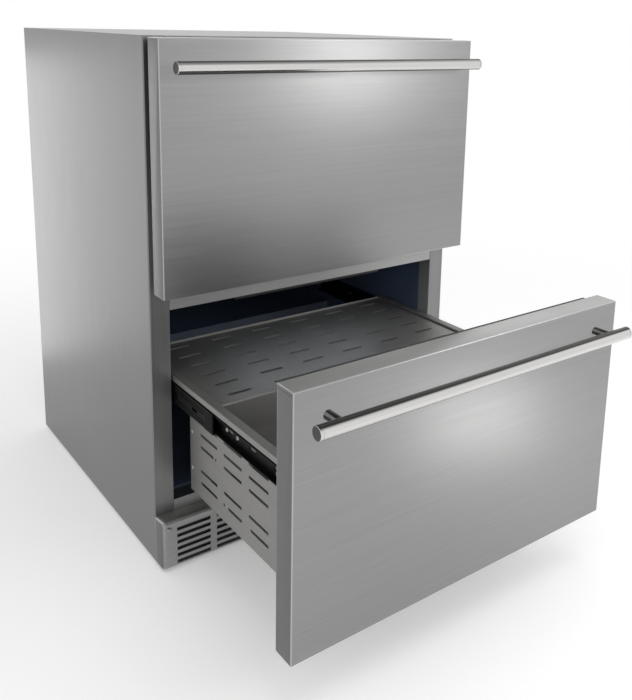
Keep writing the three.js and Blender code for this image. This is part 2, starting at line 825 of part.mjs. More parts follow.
const outerWeb = linerHalf - seat;
const middleWeb = outerWeb - slideSheet - slideWebGap;
const innerWeb = boxHalfWidth + seat;
const outerHalfHeight = slideHeight / 2;
const middleHalfHeight = outerHalfHeight - slideSheet - slideWallGap;
const innerHalfHeight = middleHalfHeight - slideSheet - slideWallGap;

function outerMember(side, z) {
  const flange = outerWeb - outerDepth;
  return slideMember(side, outerWeb, flange, outerHalfHeight, slideFrontInset, outerLength, z);
}

// The middle member carries a plastic block at its front end.
function middleMember(side, z) {
  const flange = middleWeb - middleDepth;
  const front = middleInset;
  const channel = slideMember(side, middleWeb, flange, middleHalfHeight, front, middleLength, z);
  const blockHalf = middleHalfHeight + endBlockProud;
  const body = sideBlock(
    side, middleWeb + endBlockProud, flange, front, front + endBlockLength, z - blockHalf, z + blockHalf,
  );
  const passageHalf = innerHalfHeight + endBlockClearance;
  const passage = sideBlock(
    side, middleWeb - slideSheet, flange - past, front - past, front + endBlockLength + past,
    z - passageHalf, z + passageHalf,
  );
  return channel.add(cutBy(body, [passage]));
}

function innerMember(side, z) {
  const flange = innerWeb + innerDepth;
  return slideMember(side, innerWeb, flange, innerHalfHeight, slideFrontInset, innerLength, z);
}

// ---- drawers ----
// Folded front: face sheet with four sides and a narrow hem at the back.
function frontSkin(bottom, top) {
  const bounds = [-frontHalf, frontHalf, frontFace, frontBack, bottom, top];
  const mouthHalf = frontHalf - frontHem;
  const mouth = block(
    -mouthHalf, mouthHalf, frontBack - sheet - past, frontBack + past, bottom + frontHem, top - frontHem,
  );
  return cutBy(block(...bounds), [inset(sheet, bounds), mouth]);
}

// Shallow tray that closes the back of the front, inside its hem.
function innerPanel(bottom, top) {
  const margin = frontHem + seat;
  const half = frontHalf - margin;
  const front = frontBack - innerPanelFlange;
  const bounds = [-half, half, front, frontBack, bottom + margin, top - margin];
  return cutBy(block(...bounds), [inset(innerPanelSheet, bounds, { front: true })]);
}

function frontFoam(bottom, top) {
  const margin = sheet + seat;
  const half = frontHalf - margin;
  return block(
    -half, half, frontFace + margin, frontBack - innerPanelFlange - seat, bottom + margin, top - margin,
  );
}

// Bellows gasket as a ring, face to face with the front's hem.
function gasket(bottom, top) {
  const half = frontHalf - gasketInsetX;
  const z0 = bottom + gasketInsetZ;
  const z1 = top - gasketInsetZ;
  const ring = (width, from, to, beyond) => cutBy(
    block(-half - beyond, half + beyond, from, to, z0 - beyond, z1 + beyond),
    [block(-half + width, half - width, from - past, to + past, z0 + width, z1 - width)],
  );
  const middle = -frontGap / 2;
  const groove = ring(gasketGroove, middle - gasketGroove / 2, middle + gasketGroove / 2, past);
  return cutBy(ring(gasketWidth, frontBack + seat, -seat, 0), [groove]);
}

const handleY = frontFace - handleStandOff;

function handleBar(top) {
  return bar('x', handleDiameter / 2, handleLength, -handleLength / 2, handleY, top - handleDrop, 32);
}

// Post between the face and the bar, its front end hollowed to the bar's round.
function handlePost(side, top) {
  const x = side * (handleLength / 2 - postInset);
  const z = top - handleDrop;
  const room = postDiameter;
  const post = bar('y', postDiameter / 2, handleStandOff - seat, x, handleY, z, 24);
  const saddle = bar('x', handleDiameter / 2 + seat, 2 * room, x - room, handleY, z, 32);
  const front = block(x - room, x + room, handleY - past, handleY, z - room, z + room);
  return cutBy(post, [saddle, front]);
}

// Long slots in both sides of a drawer box, with one row of the grid left blank.
function sideSlots(rim, deepest) {
  const slots = [];
  const r = slotHeight / 2;
  const reach = boxHalfWidth + past;
  for (let column = 0; column < slotColumns; column += 1) {
    const rear = deepRear - slotFirstFromRear - column * slotColumnPitch;
    for (let row = 0; row < slotRows; row += 1) {
      const z = rim - slotFirstBelowRim - row * slotRowPitch;
      if (row === slotRowGap || z < deepest + slotHeight) continue;
      const ends = [rear - r, rear - slotLength + r];
      const straight = block(-reach, reach, ends[1], ends[0], z - r, z + r);
      const rounds = ends.map((y) => bar('x', r, 2 * reach, -reach, y, z, slotEndSides));
      slots.push(joined([straight, ...rounds]));
    }
  }
  return slots;
}

// Sheet box: side view drawn once for the outside and once, smaller, for the inside.
function drawerBox(rim, floor, stepFloor) {
  const front = frontBack + seat;
  const section = (wall, beyond) => {
    const points = [[front + wall, rim + beyond], [front + wall, floor + wall]];
    if (stepFloor !== null) {
      points.push([deepRear - wall, floor + wall], [deepRear - wall, stepFloor + wall]);
    }
    const rearFloor = stepFloor === null ? floor : stepFloor;
    points.push([boxRear - wall, rearFloor + wall], [boxRear - wall, rim + beyond]);
    return outline(points);
  };
  const roomHalf = boxHalfWidth - boxSheet;
  const shell = cutBy(
    alongX(section(0, 0), -boxHalfWidth, boxHalfWidth),
    [alongX(section(boxSheet, past), -roomHalf, roomHalf)],
  );
  const rimEdge = boxHalfWidth + rimWidth;
  const rims = bothSides((side) => {
    const flat = sideBlock(side, roomHalf, rimEdge, front, boxRear, rim - boxSheet, rim);
    const lip = sideBlock(side, rimEdge - boxSheet, rimEdge, front, boxRear, rim - rimLip, rim);
    return flat.add(lip);
  });
  return cutBy(joined([shell, ...rims]), sideSlots(rim, floor));
}

// Slotted plate over the shallow rear part, its edges turned down onto the shallow floor.
function shelf(rim) {
  const half = boxHalfWidth - boxSheet - shelfSideClearance;
  const top = rim - shelfBelowRim;
  const foot = shallowFloor + boxSheet + seat;
  const rear = boxRear - boxSheet - shelfSideClearance;
  const bounds = [-half, half, shelfFront, rear, foot, top];
  const columns = Math.floor((2 * half - shelfSlotLength) / shelfSlotPitchX) + 1;
  const rows = Math.floor((rear - shelfFront - shelfFirstRow - shelfSlotWidth) / shelfSlotPitchY) + 1;
  const slots = [];
  for (let row = 0; row < rows; row += 1) {
    const y = shelfFront + shelfFirstRow + row * shelfSlotPitchY;
    for (let column = 0; column < columns; column += 1) {
      const x = (column - (columns - 1) / 2) * shelfSlotPitchX - shelfSlotLength / 2;
      slots.push(block(
        x, x + shelfSlotLength, y, y + shelfSlotWidth, top - shelfSheet - past, top + past,
      ));
    }
  }
  return cutBy(block(...bounds), [inset(shelfSheet, bounds, { bottom: true }), ...slots]);
}

// All that moves with one drawer, plus its four fixed and coupled slide members.
function drawer(name, { bottom, top, floor, stepFloor, openBy }) {
  const moving = new THREE.Group();
  moving.position.y = -openBy;
  const middle = new THREE.Group();
  middle.position.y = -openBy * middleShare;
  refrigerator.add(moving, middle);
  const rim = top - rimDrop;
  const slideZ = rim - slideBelowRim;
  piece(`${name}_front_skin`, frontSkin(bottom, top), steel, moving);
  piece(`${name}_front_foam`, frontFoam(bottom, top), foam, moving);
  piece(`${name}_inner_panel`, innerPanel(bottom, top), greyPlastic, moving);
  piece(`${name}_gasket`, gasket(bottom, top), gasketRubber, moving);
  piece(`${name}_drawer_box`, drawerBox(rim, floor, stepFloor), drawerSteel, moving);
  piece(`${name}_handle_bar`, handleBar(top), brightSteel, moving);
  for (const [hand, side] of [['left', -1], ['right', 1]]) {
    piece(`${name}_handle_post_${hand}`, handlePost(side, top), brightSteel, moving);
    piece(`${name}_slide_outer_${hand}`, outerMember(side, slideZ), blackSteel);
    piece(`${name}_slide_middle_${hand}`, middleMember(side, slideZ), blackSteel, middle);
    piece(`${name}_slide_inner_${hand}`, innerMember(side, slideZ), blackSteel, moving);
  }
  if (stepFloor !== null) piece(`${name}_shelf`, shelf(rim), drawerSteel, moving);
}

// ---- put together ----
piece('left_side_panel', sidePanel(-1), steel);
piece('right_side_panel', sidePanel(1), steel);
piece('top_panel', topPanel(), steel);
piece('rear_panel', rearPanel(), galvanised);
piece('base_pan', basePan(), galvanised);
piece('top_rail', frontRail(topRailTop - topRailHeight, topRailTop), darkSteel);
piece('middle_rail', frontRail(middleRailBottom, middleRailTop), darkSteel);
piece('sill_rail', frontRail(sillTop - sillHeight, sillTop), darkSteel);
piece('toe_grille', toeGrille(), darkSteel);
piece('grille_screw_left', grilleScrew(-1), brightSteel);
piece('grille_screw_right', grilleScrew(1), brightSteel);
piece('inner_liner', innerLiner(), linerPlastic);
piece('insulation', insulation(), foam);
for (const place of footPlaces()) {
  piece(`foot_${place.name}`, levellingFoot(place), blackPlastic);
}

piece('compressor', compressor(), blackEnamel);
piece('condenser', condenser(), aluminium);
piece('drain_tray', drainTray(), blackPlastic);
piece('power_inlet', powerInlet(), blackPlastic);

const condenserFanY = condenserY + condenserDepth + motorLength + motorGap;
const condenserFanZ = machineFloor + condenserBase + condenserHeight / 2;
const condenserFan = piece('condenser_fan_blade', fanBlade(condenserFanDiameter), blackPlastic);
condenserFan.position.set(condenserX, condenserFanY, condenserFanZ);

piece('evaporator_cover', evaporatorCover(), greyPlastic);
piece('evaporator_coil', evaporatorCoil(), copper);
const coolerFan = piece('evaporator_fan_blade', fanBlade(coverFanDiameter), blackPlastic);
coolerFan.position.set(coverFanX, coverFront + motorLength + motorGap, coverFanZ);

piece('upper_light', lightBar(panelFront + panelDepth + lightGap, ceiling - seat), lens);
piece('lower_light', lightBar(railDepth - lightWidth - lightSetback, middleRailBottom - seat), lens);
piece('control_panel', controlPanel(), blackPlastic);
buttonNames.forEach((name, n) => piece(`button_${name}`, controlButton(n), greyPlastic));

drawer('upper', {
  bottom: upperFrontBottom,
  top: upperFrontTop,
  floor: upperBoxFloor,
  stepFloor: null,
  openBy: 0,
});
drawer('lower', {
  bottom: lowerFrontBottom,
  top: lowerFrontTop,
  floor: lowerBoxFloor,
  stepFloor: shallowFloor,
  openBy: drawerTravel,
});

// The open lower drawer's bar is the foremost point and the side panels' rear edge the last.
const foremost = handleY - handleDiameter / 2 - drawerTravel;
const whole = new THREE.Group();
refrigerator.position.y = -(foremost + caseDepth) / 2;
whole.add(refrigerator);
whole.name = 'undercounter_drawer_refrigerator';

export default whole;
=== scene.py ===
import json
import math
import bmesh
import bpy
from mathutils import Matrix, Vector

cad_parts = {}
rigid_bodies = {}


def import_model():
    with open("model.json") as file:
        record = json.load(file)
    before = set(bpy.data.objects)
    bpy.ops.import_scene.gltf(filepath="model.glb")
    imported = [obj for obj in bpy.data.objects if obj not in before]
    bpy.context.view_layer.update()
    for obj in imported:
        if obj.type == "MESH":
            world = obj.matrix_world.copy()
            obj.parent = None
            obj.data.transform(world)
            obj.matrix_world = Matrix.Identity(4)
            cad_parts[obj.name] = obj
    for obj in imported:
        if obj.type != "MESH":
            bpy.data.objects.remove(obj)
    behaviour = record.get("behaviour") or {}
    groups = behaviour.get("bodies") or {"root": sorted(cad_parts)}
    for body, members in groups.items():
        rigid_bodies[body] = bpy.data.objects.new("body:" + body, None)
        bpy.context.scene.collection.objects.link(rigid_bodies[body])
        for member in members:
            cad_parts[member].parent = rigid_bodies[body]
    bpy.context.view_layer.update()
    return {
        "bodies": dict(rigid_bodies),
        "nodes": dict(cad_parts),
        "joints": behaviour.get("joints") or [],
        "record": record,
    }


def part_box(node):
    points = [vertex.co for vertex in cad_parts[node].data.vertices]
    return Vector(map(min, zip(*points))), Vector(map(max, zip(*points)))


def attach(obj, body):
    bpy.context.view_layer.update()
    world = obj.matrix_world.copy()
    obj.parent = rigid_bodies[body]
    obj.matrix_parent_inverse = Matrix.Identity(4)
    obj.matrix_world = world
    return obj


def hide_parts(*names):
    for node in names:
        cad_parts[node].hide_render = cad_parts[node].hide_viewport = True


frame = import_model()
nodes = frame["nodes"]
slotOf = {part["node"]: part["material_slot"] for part in frame["record"]["subparts"]}
bodyOf = {node: body for body, held in frame["record"]["behaviour"]["bodies"].items() for node in held}
sides = (("left", -1), ("right", 1))
drawers = ("upper", "lower")
print("frame loaded:", len(nodes), "nodes")


# camera, lamps and studio
cameraSet = {
    "place": (-0.78915, -1.21557, 0.87159),
    "yaw": 37.06,      # degrees to the right of +Y
    "pitch": 11.93,    # degrees down
    "roll": 1.40,
    "lens": 43.0,
    "sensor": 36.0,
    "shift": (-0.0514, -0.2143),
}

studioSet = {
    "floorColor": (0.86, 0.86, 0.86),
    "floorGlow": 0.30,       # what the camera and mirrors see added to the lit floor
    "floorSize": 30.0,
    "floorZ": -0.0004,
    "floorFade": (0.9, 2.2),  # the lit floor gives way to plain white between these distances
    "backgroundWhite": 1.0,
    "zenithGrey": 0.30,      # what a mirror sees straight above
    "zenithBand": (0.50, 0.92),  # rise of the direction over which white turns to that grey
    "fillGrey": 0.62,        # what the world gives to matt surfaces
}

lampSet = {
    # name: place, point it faces, width, height, watts, spread in degrees, rays that see it, casts shadows
    "ceilingSoft": ((0.2, -0.9, 2.9), (0.0, -0.1, 0.3), 2.4, 2.0, 22.0, 180, "diffuse", True),
    "frontRight": ((1.22, -1.70, 1.12), (0.0, -0.1, 0.78), 0.6, 0.6, 7.5, 180, "all", True),
    "lowRight": ((0.40, -0.92, 0.11), (0.0, -0.467, 0.33), 0.34, 0.20, 0.50, 180, "glossy", False),
    "sideRear": ((-0.46, 0.92, 0.33), (-0.3, 0.2, 0.38), 0.22, 0.90, 0.36, 110, "glossy", True),
}


def placeCamera():
    yaw, pitch, roll = (math.radians(cameraSet[turn]) for turn in ("yaw", "pitch", "roll"))
    ahead = Vector((math.sin(yaw) * math.cos(pitch), math.cos(yaw) * math.cos(pitch), -math.sin(pitch)))
    right = ahead.cross(Vector((0, 0, 1))).normalized()
    up = right.cross(ahead)
    rolledRight = right * math.cos(roll) + up * math.sin(roll)
    rolledUp = up * math.cos(roll) - right * math.sin(roll)
    bpy.ops.object.camera_add(location=cameraSet["place"])
    camera = bpy.context.object
    camera.name = "photoCamera"
    camera.rotation_euler = Matrix((rolledRight, rolledUp, -ahead)).transposed().to_euler()
    camera.data.lens = cameraSet["lens"]
    camera.data.sensor_width = cameraSet["sensor"]
    camera.data.shift_x, camera.data.shift_y = cameraSet["shift"]
    camera.data.clip_end = 100
    bpy.context.scene.camera = camera


def placeLamps():
    for name, (place, target, width, height, watts, spread, seenBy, shadows) in lampSet.items():
        bpy.ops.object.light_add(type="AREA", location=place)
        lamp = bpy.context.object
        lamp.name = name
        lamp.data.shape = "RECTANGLE"
        lamp.data.size = width
        lamp.data.size_y = height
        lamp.data.energy = watts
        lamp.data.spread = math.radians(spread)
        lamp.rotation_euler = (Vector(target) - Vector(place)).to_track_quat("-Z", "Y").to_euler()
        lamp.data.use_shadow = shadows
        lamp.visible_camera = False
        lamp.visible_glossy = seenBy != "diffuse"
        lamp.visible_diffuse = seenBy != "glossy"


# small helpers for node trees
def newNode(tree, kind, **values):
    node = tree.nodes.new(kind)
    for key, value in values.items():
        setattr(node, key, value)
    return node


def isSocket(value):
    return isinstance(value, bpy.types.NodeSocket)


def join(tree, value, target):
    # an output is linked, a constant is written
    if isSocket(value):
        tree.links.new(value, target)
    else:
        target.default_value = value


def feed(tree, node, values):
    # values for a node's inputs, by name or number
    for key, value in values.items():
        join(tree, value, node.inputs[key])
    return node.outputs


def mathNode(tree, operation, *values):
    return feed(tree, newNode(tree, "ShaderNodeMath", operation=operation), dict(enumerate(values)))[0]


def vectorMath(tree, operation, *values):
    return feed(tree, newNode(tree, "ShaderNodeVectorMath", operation=operation), dict(enumerate(values)))


def mapRange(tree, value, fromLow, fromHigh, toLow=0.0, toHigh=1.0, smooth=False):
    node = newNode(tree, "ShaderNodeMapRange", interpolation_type="SMOOTHSTEP" if smooth else "LINEAR")
    return feed(tree, node, dict(enumerate((value, fromLow, fromHigh, toLow, toHigh))))[0]


def mixColor(tree, share, *colors):
    first, second = (color if isSocket(color) else (*color, 1) for color in colors)
    return feed(tree, newNode(tree, "ShaderNodeMix", data_type="RGBA"), {0: share, 6: first, 7: second})[2]


def noise(tree, vector, scale, detail, roughness):
    values = {"Vector": vector, "Scale": scale, "Detail": detail, "Roughness": roughness}
    return feed(tree, newNode(tree, "ShaderNodeTexNoise"), values)[0]


def facing(tree):
    # x, y and z of the way a face looks
    normal = newNode(tree, "ShaderNodeNewGeometry").outputs["Normal"]
    return feed(tree, newNode(tree, "ShaderNodeSeparateXYZ"), {0: normal})


def newGroup(name, vectors, floats, made):
    group = bpy.data.node_groups.new(name, "ShaderNodeTree")
    sockets = ((vectors, "INPUT", "Vector"), (floats, "INPUT", "Float"), (made, "OUTPUT", "Float"))
    for labels, way, kind in sockets:
        for label in labels:
            group.interface.new_socket(label, in_out=way, socket_type="NodeSocket" + kind)
    return group, newNode(group, "NodeGroupInput").outputs, newNode(group, "NodeGroupOutput").inputs


def useGroup(tree, name, **values):
    return feed(tree, newNode(tree, "ShaderNodeGroup", node_tree=groups[name]), values)


# effects that several materials share
def makeGrain():
    # fine brush lines and wider streaks, drawn out along the axis with the smallest number in Lines
    group, given, made = newGroup("brushedGrain", ["Position", "Lines"], [], ["Fine", "Streak"])
    drawn = vectorMath(group, "MULTIPLY", given["Position"], given["Lines"])["Vector"]
    wide = vectorMath(group, "MULTIPLY", drawn, (0.21, 0.21, 0.21))["Vector"]
    join(group, mapRange(group, noise(group, drawn, 1.0, 2.0, 0.55), 0.3, 0.7), made["Fine"])
    join(group, mapRange(group, noise(group, wide, 1.0, 3.0, 0.6), 0.32, 0.68), made["Streak"])
    return group


def makeCloud():
    # slow, soft change over a large sheet: painted reflection patches in the steel's tone
    group, given, made = newGroup("softCloud", ["Position"], ["Size"], ["Cloud"])
    scale = mathNode(group, "DIVIDE", 1.0, given["Size"])
    cloud = noise(group, given["Position"], scale, 1.0, 0.4)
    join(group, mapRange(group, cloud, 0.3, 0.7, smooth=True), made["Cloud"])
    return group


def makeFoldEdge():
    # 1 along the twelve edges of a box, for the painted highlight along the folds of folded sheet
    group, given, made = newGroup("foldEdge", ["Position", "Low", "High"], ["Width"], ["Edge"])
    below = vectorMath(group, "SUBTRACT", given["Position"], given["Low"])["Vector"]
    above = vectorMath(group, "SUBTRACT", given["High"], given["Position"])["Vector"]
    nearest = vectorMath(group, "MINIMUM", below, above)["Vector"]
    distances = feed(group, newNode(group, "ShaderNodeSeparateXYZ"), {0: nearest})
    close = [mapRange(group, part, 0.0, given["Width"], 1.0, 0.0, smooth=True) for part in distances]
    pairs = [mathNode(group, "MINIMUM", close[a], close[b]) for a, b in ((0, 1), (1, 2), (0, 2))]
    either = mathNode(group, "MAXIMUM", pairs[0], pairs[1])
    join(group, mathNode(group, "MAXIMUM", either, pairs[2]), made["Edge"])
    return group


def makeSpeckle():
    # fine pits and grains of moulded plastic, paint and rubber
    group, given, made = newGroup("speckle", ["Position"], ["Size"], ["Grains", "Blotch"])
    scale = mathNode(group, "DIVIDE", 1.0, given["Size"])
    blotchScale = mathNode(group, "MULTIPLY", scale, 0.03)
    join(group, noise(group, given["Position"], scale, 3.0, 0.6), made["Grains"])
    join(group, noise(group, given["Position"], blotchScale, 2.0, 0.5), made["Blotch"])
    return group


def makeDust():
    # dust that gathers on faces that look up
    group, given, made = newGroup("restingDust", ["Position", "Normal"], ["Amount"], ["Dust"])
    height = feed(group, newNode(group, "ShaderNodeSeparateXYZ"), {0: given["Normal"]})["Z"]
    upward = mapRange(group, height, 0.5, 1.0, smooth=True)
    patches = mapRange(group, noise(group, given["Position"], 90.0, 4.0, 0.65), 0.35, 0.75)
    laid = mathNode(group, "MULTIPLY", upward, patches)
    join(group, mathNode(group, "MULTIPLY", laid, given["Amount"]), made["Dust"])
    return group


horizontal = (9.0, 9.0, 1100.0)     # brush lines that run along x and y
vertical = (1100.0, 1100.0, 9.0)    # brush lines that run up
crosswise = (9.0, 1100.0, 1100.0)   # brush lines that run along x, on a level sheet
lengthwise = (1100.0, 9.0, 1100.0)  # brush lines that run along y

groups = {
    "grain": makeGrain(),
    "cloud": makeCloud(),
    "edge": makeFoldEdge(),
    "speckle": makeSpeckle(),
    "dust": makeDust(),
}
print("shared effects made")


def newMaterial(name):
    material = bpy.data.materials.new(name)
    material.use_nodes = True
    tree = material.node_tree
    return material, tree, newNode(tree, "ShaderNodeTexCoord").outputs["Object"]


def paint(tree, values, height=None, strength=0.0, distance=0.0):
    # the Principled node's inputs, and a bump from height
    if height is not None:
        bump = {"Strength": strength, "Distance": distance, "Height": height}
        values["Normal"] = feed(tree, newNode(tree, "ShaderNodeBump"), bump)[0]
    return feed(tree, tree.nodes["Principled BSDF"], values)[0]


steelSet = {
    "cloudSize": 0.45,
    "shares": (0.5, 0.25, 0.25),         # fine lines, streaks and cloud in the tone; the cloud is painted reflection patches
    # painted light on faces that look up
    "paintedTopShare": 0.92,
    "paintedSideShadeShare": 0.55,
    "paintedSideShade": (0.06, 0.06, 0.06),    # painted shade on faces that look sideways
    "edgeWidth": 0.0022,
    "edgeHighlightShare": 0.6,
    "paintedEdgeHighlight": (0.66, 0.66, 0.65),     # painted highlight along the folds
    "edgeSmoother": -0.08,
    "paintedInwardLight": (0.30, 0.30, 0.298),    # painted light on faces that look into the case
    "inwardMetallic": 0.15,
}


def brushedSteel(name, dark, light, lines, roughness, metallic=1.0, edgeOf=None, topGrey=0.9, inwardX=0):
    # dark and light: what the brush leaves in the valleys and on the ridges
    material, tree, position = newMaterial(name)
    grain = useGroup(tree, "grain", Position=position, Lines=lines)
    # cloud: painted reflection patches
    cloud = useGroup(tree, "cloud", Position=position, Size=steelSet["cloudSize"])["Cloud"]
    fineShare, streakShare, cloudShare = steelSet["shares"]
    streak = mathNode(tree, "MULTIPLY", grain["Streak"], streakShare)
    brushed = mathNode(tree, "MULTIPLY_ADD", grain["Fine"], fineShare, streak)
    color = mixColor(tree, mathNode(tree, "MULTIPLY_ADD", cloud, cloudShare, brushed), dark, light)
    rough = mapRange(tree, grain["Fine"], 0.0, 1.0, roughness - 0.04, roughness + 0.05)
    normal = facing(tree)
    if edgeOf:
        low, high = edgeOf
        # painted light on faces that look up
        top = mapRange(tree, normal["Z"], 0.5, 0.95, 0.0, steelSet["paintedTopShare"], smooth=True)
        color = mixColor(tree, top, color, (topGrey, topGrey, topGrey * 0.99))
        # painted shade on faces that look sideways
        sideways = mathNode(tree, "ABSOLUTE", normal["X"])
        flank = mapRange(tree, sideways, 0.6, 0.95, 0.0, steelSet["paintedSideShadeShare"], smooth=True)
        color = mixColor(tree, flank, color, steelSet["paintedSideShade"])
        # painted highlight along the box's edges, which are also smoother
        width = steelSet["edgeWidth"]
        edge = useGroup(tree, "edge", Position=position, Low=low, High=high, Width=width)["Edge"]
        wearAndSheen = mathNode(tree, "MULTIPLY", edge, steelSet["edgeHighlightShare"])
        color = mixColor(tree, wearAndSheen, color, steelSet["paintedEdgeHighlight"])
        rough = mathNode(tree, "MULTIPLY_ADD", edge, steelSet["edgeSmoother"], rough)
    if inwardX:
        # painted light on faces that look into the case: lighter and less metallic
        inward = mapRange(tree, mathNode(tree, "MULTIPLY", normal["X"], inwardX), 0.6, 0.95, smooth=True)
        color = mixColor(tree, inward, color, steelSet["paintedInwardLight"])
        metallic = mapRange(tree, inward, 0.0, 1.0, metallic, steelSet["inwardMetallic"])
    values = {"Base Color": color, "Roughness": rough, "Metallic": metallic}
    paint(tree, values, grain["Fine"], 0.05, 0.0004)
    return material


def barSteel(name, dark, light, roughness):
    # satin tube: almost no grain, painted reflections as dark lines along its top and underside, darker and
    # rougher ends
    material, tree, position = newMaterial(name)
    grain = useGroup(tree, "grain", Position=position, Lines=crosswise)
    color = mixColor(tree, grain["Streak"], dark, light)
    normal = facing(tree)
    marks = (
        # what it follows, from, to, share, colour; the top and underside lines are painted reflections, the
        # darker, rougher ends come last
        (normal["Z"], 0.72, 0.85, 0.88, (0.012, 0.012, 0.012)),
        (mathNode(tree, "MULTIPLY", normal["Z"], -1.0), 0.70, 0.86, 0.88, (0.05, 0.05, 0.05)),
        (mathNode(tree, "ABSOLUTE", normal["X"]), 0.85, 0.98, 1.0, (0.075, 0.075, 0.074)),
    )
    for value, start, end, share, shade in marks:
        mask = mapRange(tree, value, start, end, 0.0, share, smooth=True)
        color = mixColor(tree, mask, color, shade)
    rough = mathNode(tree, "MULTIPLY_ADD", mask, 0.15, roughness)
    paint(tree, {"Base Color": color, "Roughness": rough, "Metallic": 1.0}, grain["Fine"], 0.012, 0.0002)
    return material


def mouldedPlastic(name, base, roughness, size=0.0012, bump=0.12, dust=0.0):
    material, tree, position = newMaterial(name)
    speck = useGroup(tree, "speckle", Position=position, Size=size)
    darker, lighter = (tuple(min(1, value * share) for value in base) for share in (0.88, 1.12))
    color = mixColor(tree, mapRange(tree, speck["Blotch"], 0.3, 0.7), darker, lighter)
    if dust:
        normal = newNode(tree, "ShaderNodeNewGeometry").outputs["Normal"]
        laid = useGroup(tree, "dust", Position=position, Normal=normal, Amount=dust)["Dust"]
        color = mixColor(tree, laid, color, (0.32, 0.31, 0.29))
    rough = mapRange(tree, speck["Grains"], 0.3, 0.7, roughness - 0.06, roughness + 0.08)
    paint(tree, {"Base Color": color, "Roughness": rough}, speck["Grains"], bump, 0.0003)
    return material


def cellNode(tree, position, scale):
    cells = newNode(tree, "ShaderNodeTexVoronoi", feature="F1")
    return feed(tree, cells, {"Scale": scale, "Vector": position})


def galvanisedSheet(name):
    material, tree, position = newMaterial(name)
    flakes = cellNode(tree, position, 190)["Color"]
    tone = feed(tree, newNode(tree, "ShaderNodeSeparateColor"), {0: flakes})
    color = mixColor(tree, tone[0], (0.38, 0.39, 0.40), (0.47, 0.48, 0.49))
    rough = mapRange(tree, tone[1], 0.0, 1.0, 0.38, 0.56)
    paint(tree, {"Base Color": color, "Roughness": rough, "Metallic": 0.9})
    return material


def paintedMetal(name, base, roughness, metallic=0.0, worn=(0.30, 0.30, 0.30), gloss=0.5):
    material, tree, position = newMaterial(name)
    speck = useGroup(tree, "speckle", Position=position, Size=0.0016)
    scuffs = useGroup(tree, "grain", Position=position, Lines=(900.0, 14.0, 900.0))["Streak"]
    wearAndSheen = mapRange(tree, mathNode(tree, "MULTIPLY", scuffs, speck["Blotch"]), 0.42, 0.75, 0.0, 0.5)
    values = {
        "Base Color": mixColor(tree, wearAndSheen, base, worn),
        "Roughness": mapRange(tree, speck["Grains"], 0.3, 0.7, roughness - 0.07, roughness + 0.1),
        "Metallic": metallic,
        "Specular IOR Level": gloss,
    }
    paint(tree, values, speck["Grains"], 0.08, 0.0002)
    return material


def foamMaterial(name):
    material, tree, position = newMaterial(name)
    cells = cellNode(tree, position, 420)["Distance"]
    color = mixColor(tree, cells, (0.80, 0.70, 0.44), (0.62, 0.50, 0.26))
    paint(tree, {"Base Color": color, "Roughness": 0.9}, cells, 0.4, 0.001)
    return material


def lensMaterial(name):
    material, tree, position = newMaterial(name)
    ribs = newNode(tree, "ShaderNodeTexWave", wave_type="BANDS", bands_direction="X")
    band = feed(tree, ribs, {"Scale": 60, "Vector": position})[1]
    glow = mixColor(tree, band, (0.74, 0.84, 1.0), (0.86, 0.93, 1.0))
    paint(tree, {"Base Color": glow, "Emission Color": glow, "Emission Strength": 9.0, "Roughness": 0.35})
    return material


frameGreys = ((0.30, 0.30, 0.298), (0.38, 0.38, 0.376))
caseGreys = ((0.205, 0.205, 0.204), (0.25, 0.25, 0.248))
drawerGreys = ((0.25, 0.246, 0.238), (0.33, 0.325, 0.313))
slideBlacks = {"worn": (0.012, 0.012, 0.012), "gloss": 0.09}
finishes = {
    "case_steel": brushedSteel("caseSteel", *caseGreys, vertical, 0.40),
    "front_steel": brushedSteel("frontSteel", (0.25, 0.25, 0.249), (0.31, 0.31, 0.308), horizontal, 0.40),
    "front_frame_steel": brushedSteel("frameSteel", *frameGreys, horizontal, 0.48),
    "screw_steel": brushedSteel("screwSteel", (0.36, 0.36, 0.355), (0.48, 0.48, 0.475), lengthwise, 0.38),
    "handle_steel": barSteel("handleSteel", (0.60, 0.594, 0.580), (0.66, 0.654, 0.640), 0.17),
    "drawer_steel": brushedSteel("drawerSteel", *drawerGreys, lengthwise, 0.46, metallic=0.75),
    "galvanised_steel": galvanisedSheet("galvanisedSheet"),
    "slide_steel": paintedMetal("slideBlack", (0.0045, 0.0045, 0.005), 0.40, **slideBlacks),
    "liner_plastic": mouldedPlastic("linerNavy", (0.075, 0.105, 0.165), 0.36, size=0.003, bump=0.06),
    "foam": foamMaterial("insulatingFoam"),
    "foot_plastic": mouldedPlastic("footPlastic", (0.022, 0.022, 0.023), 0.5),
    "compressor_enamel": paintedMetal("compressorEnamel", (0.014, 0.014, 0.015), 0.28),
    "condenser_metal": paintedMetal("condenserBlack", (0.03, 0.03, 0.031), 0.5, metallic=0.3),
    "black_plastic": mouldedPlastic("blackPlastic", (0.02, 0.02, 0.021), 0.48, dust=0.3),
    "cover_plastic": mouldedPlastic("coverGrey", (0.10, 0.115, 0.14), 0.42, size=0.002),
    "coil_aluminium": brushedSteel("coilAluminium", (0.50, 0.51, 0.52), (0.68, 0.69, 0.70), vertical, 0.4),
    "light_lens": lensMaterial("lightLens"),
    "button_plastic": mouldedPlastic("buttonGrey", (0.09, 0.09, 0.095), 0.4),
    "inner_panel_plastic": mouldedPlastic("innerPanelGrey", (0.70, 0.705, 0.71), 0.4, size=0.002),
    "gasket_rubber": mouldedPlastic("gasketRubber", (0.045, 0.045, 0.045), 0.62, size=0.0008, bump=0.2),
}
print("materials made:", len(finishes))


def boxOf(node):
    low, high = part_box(node)
    return tuple(low), tuple(high)


def dress(thing, material):
    thing.data.materials.clear()
    thing.data.materials.append(material)


for name, node in nodes.items():
    dress(node, finishes[slotOf[name]])


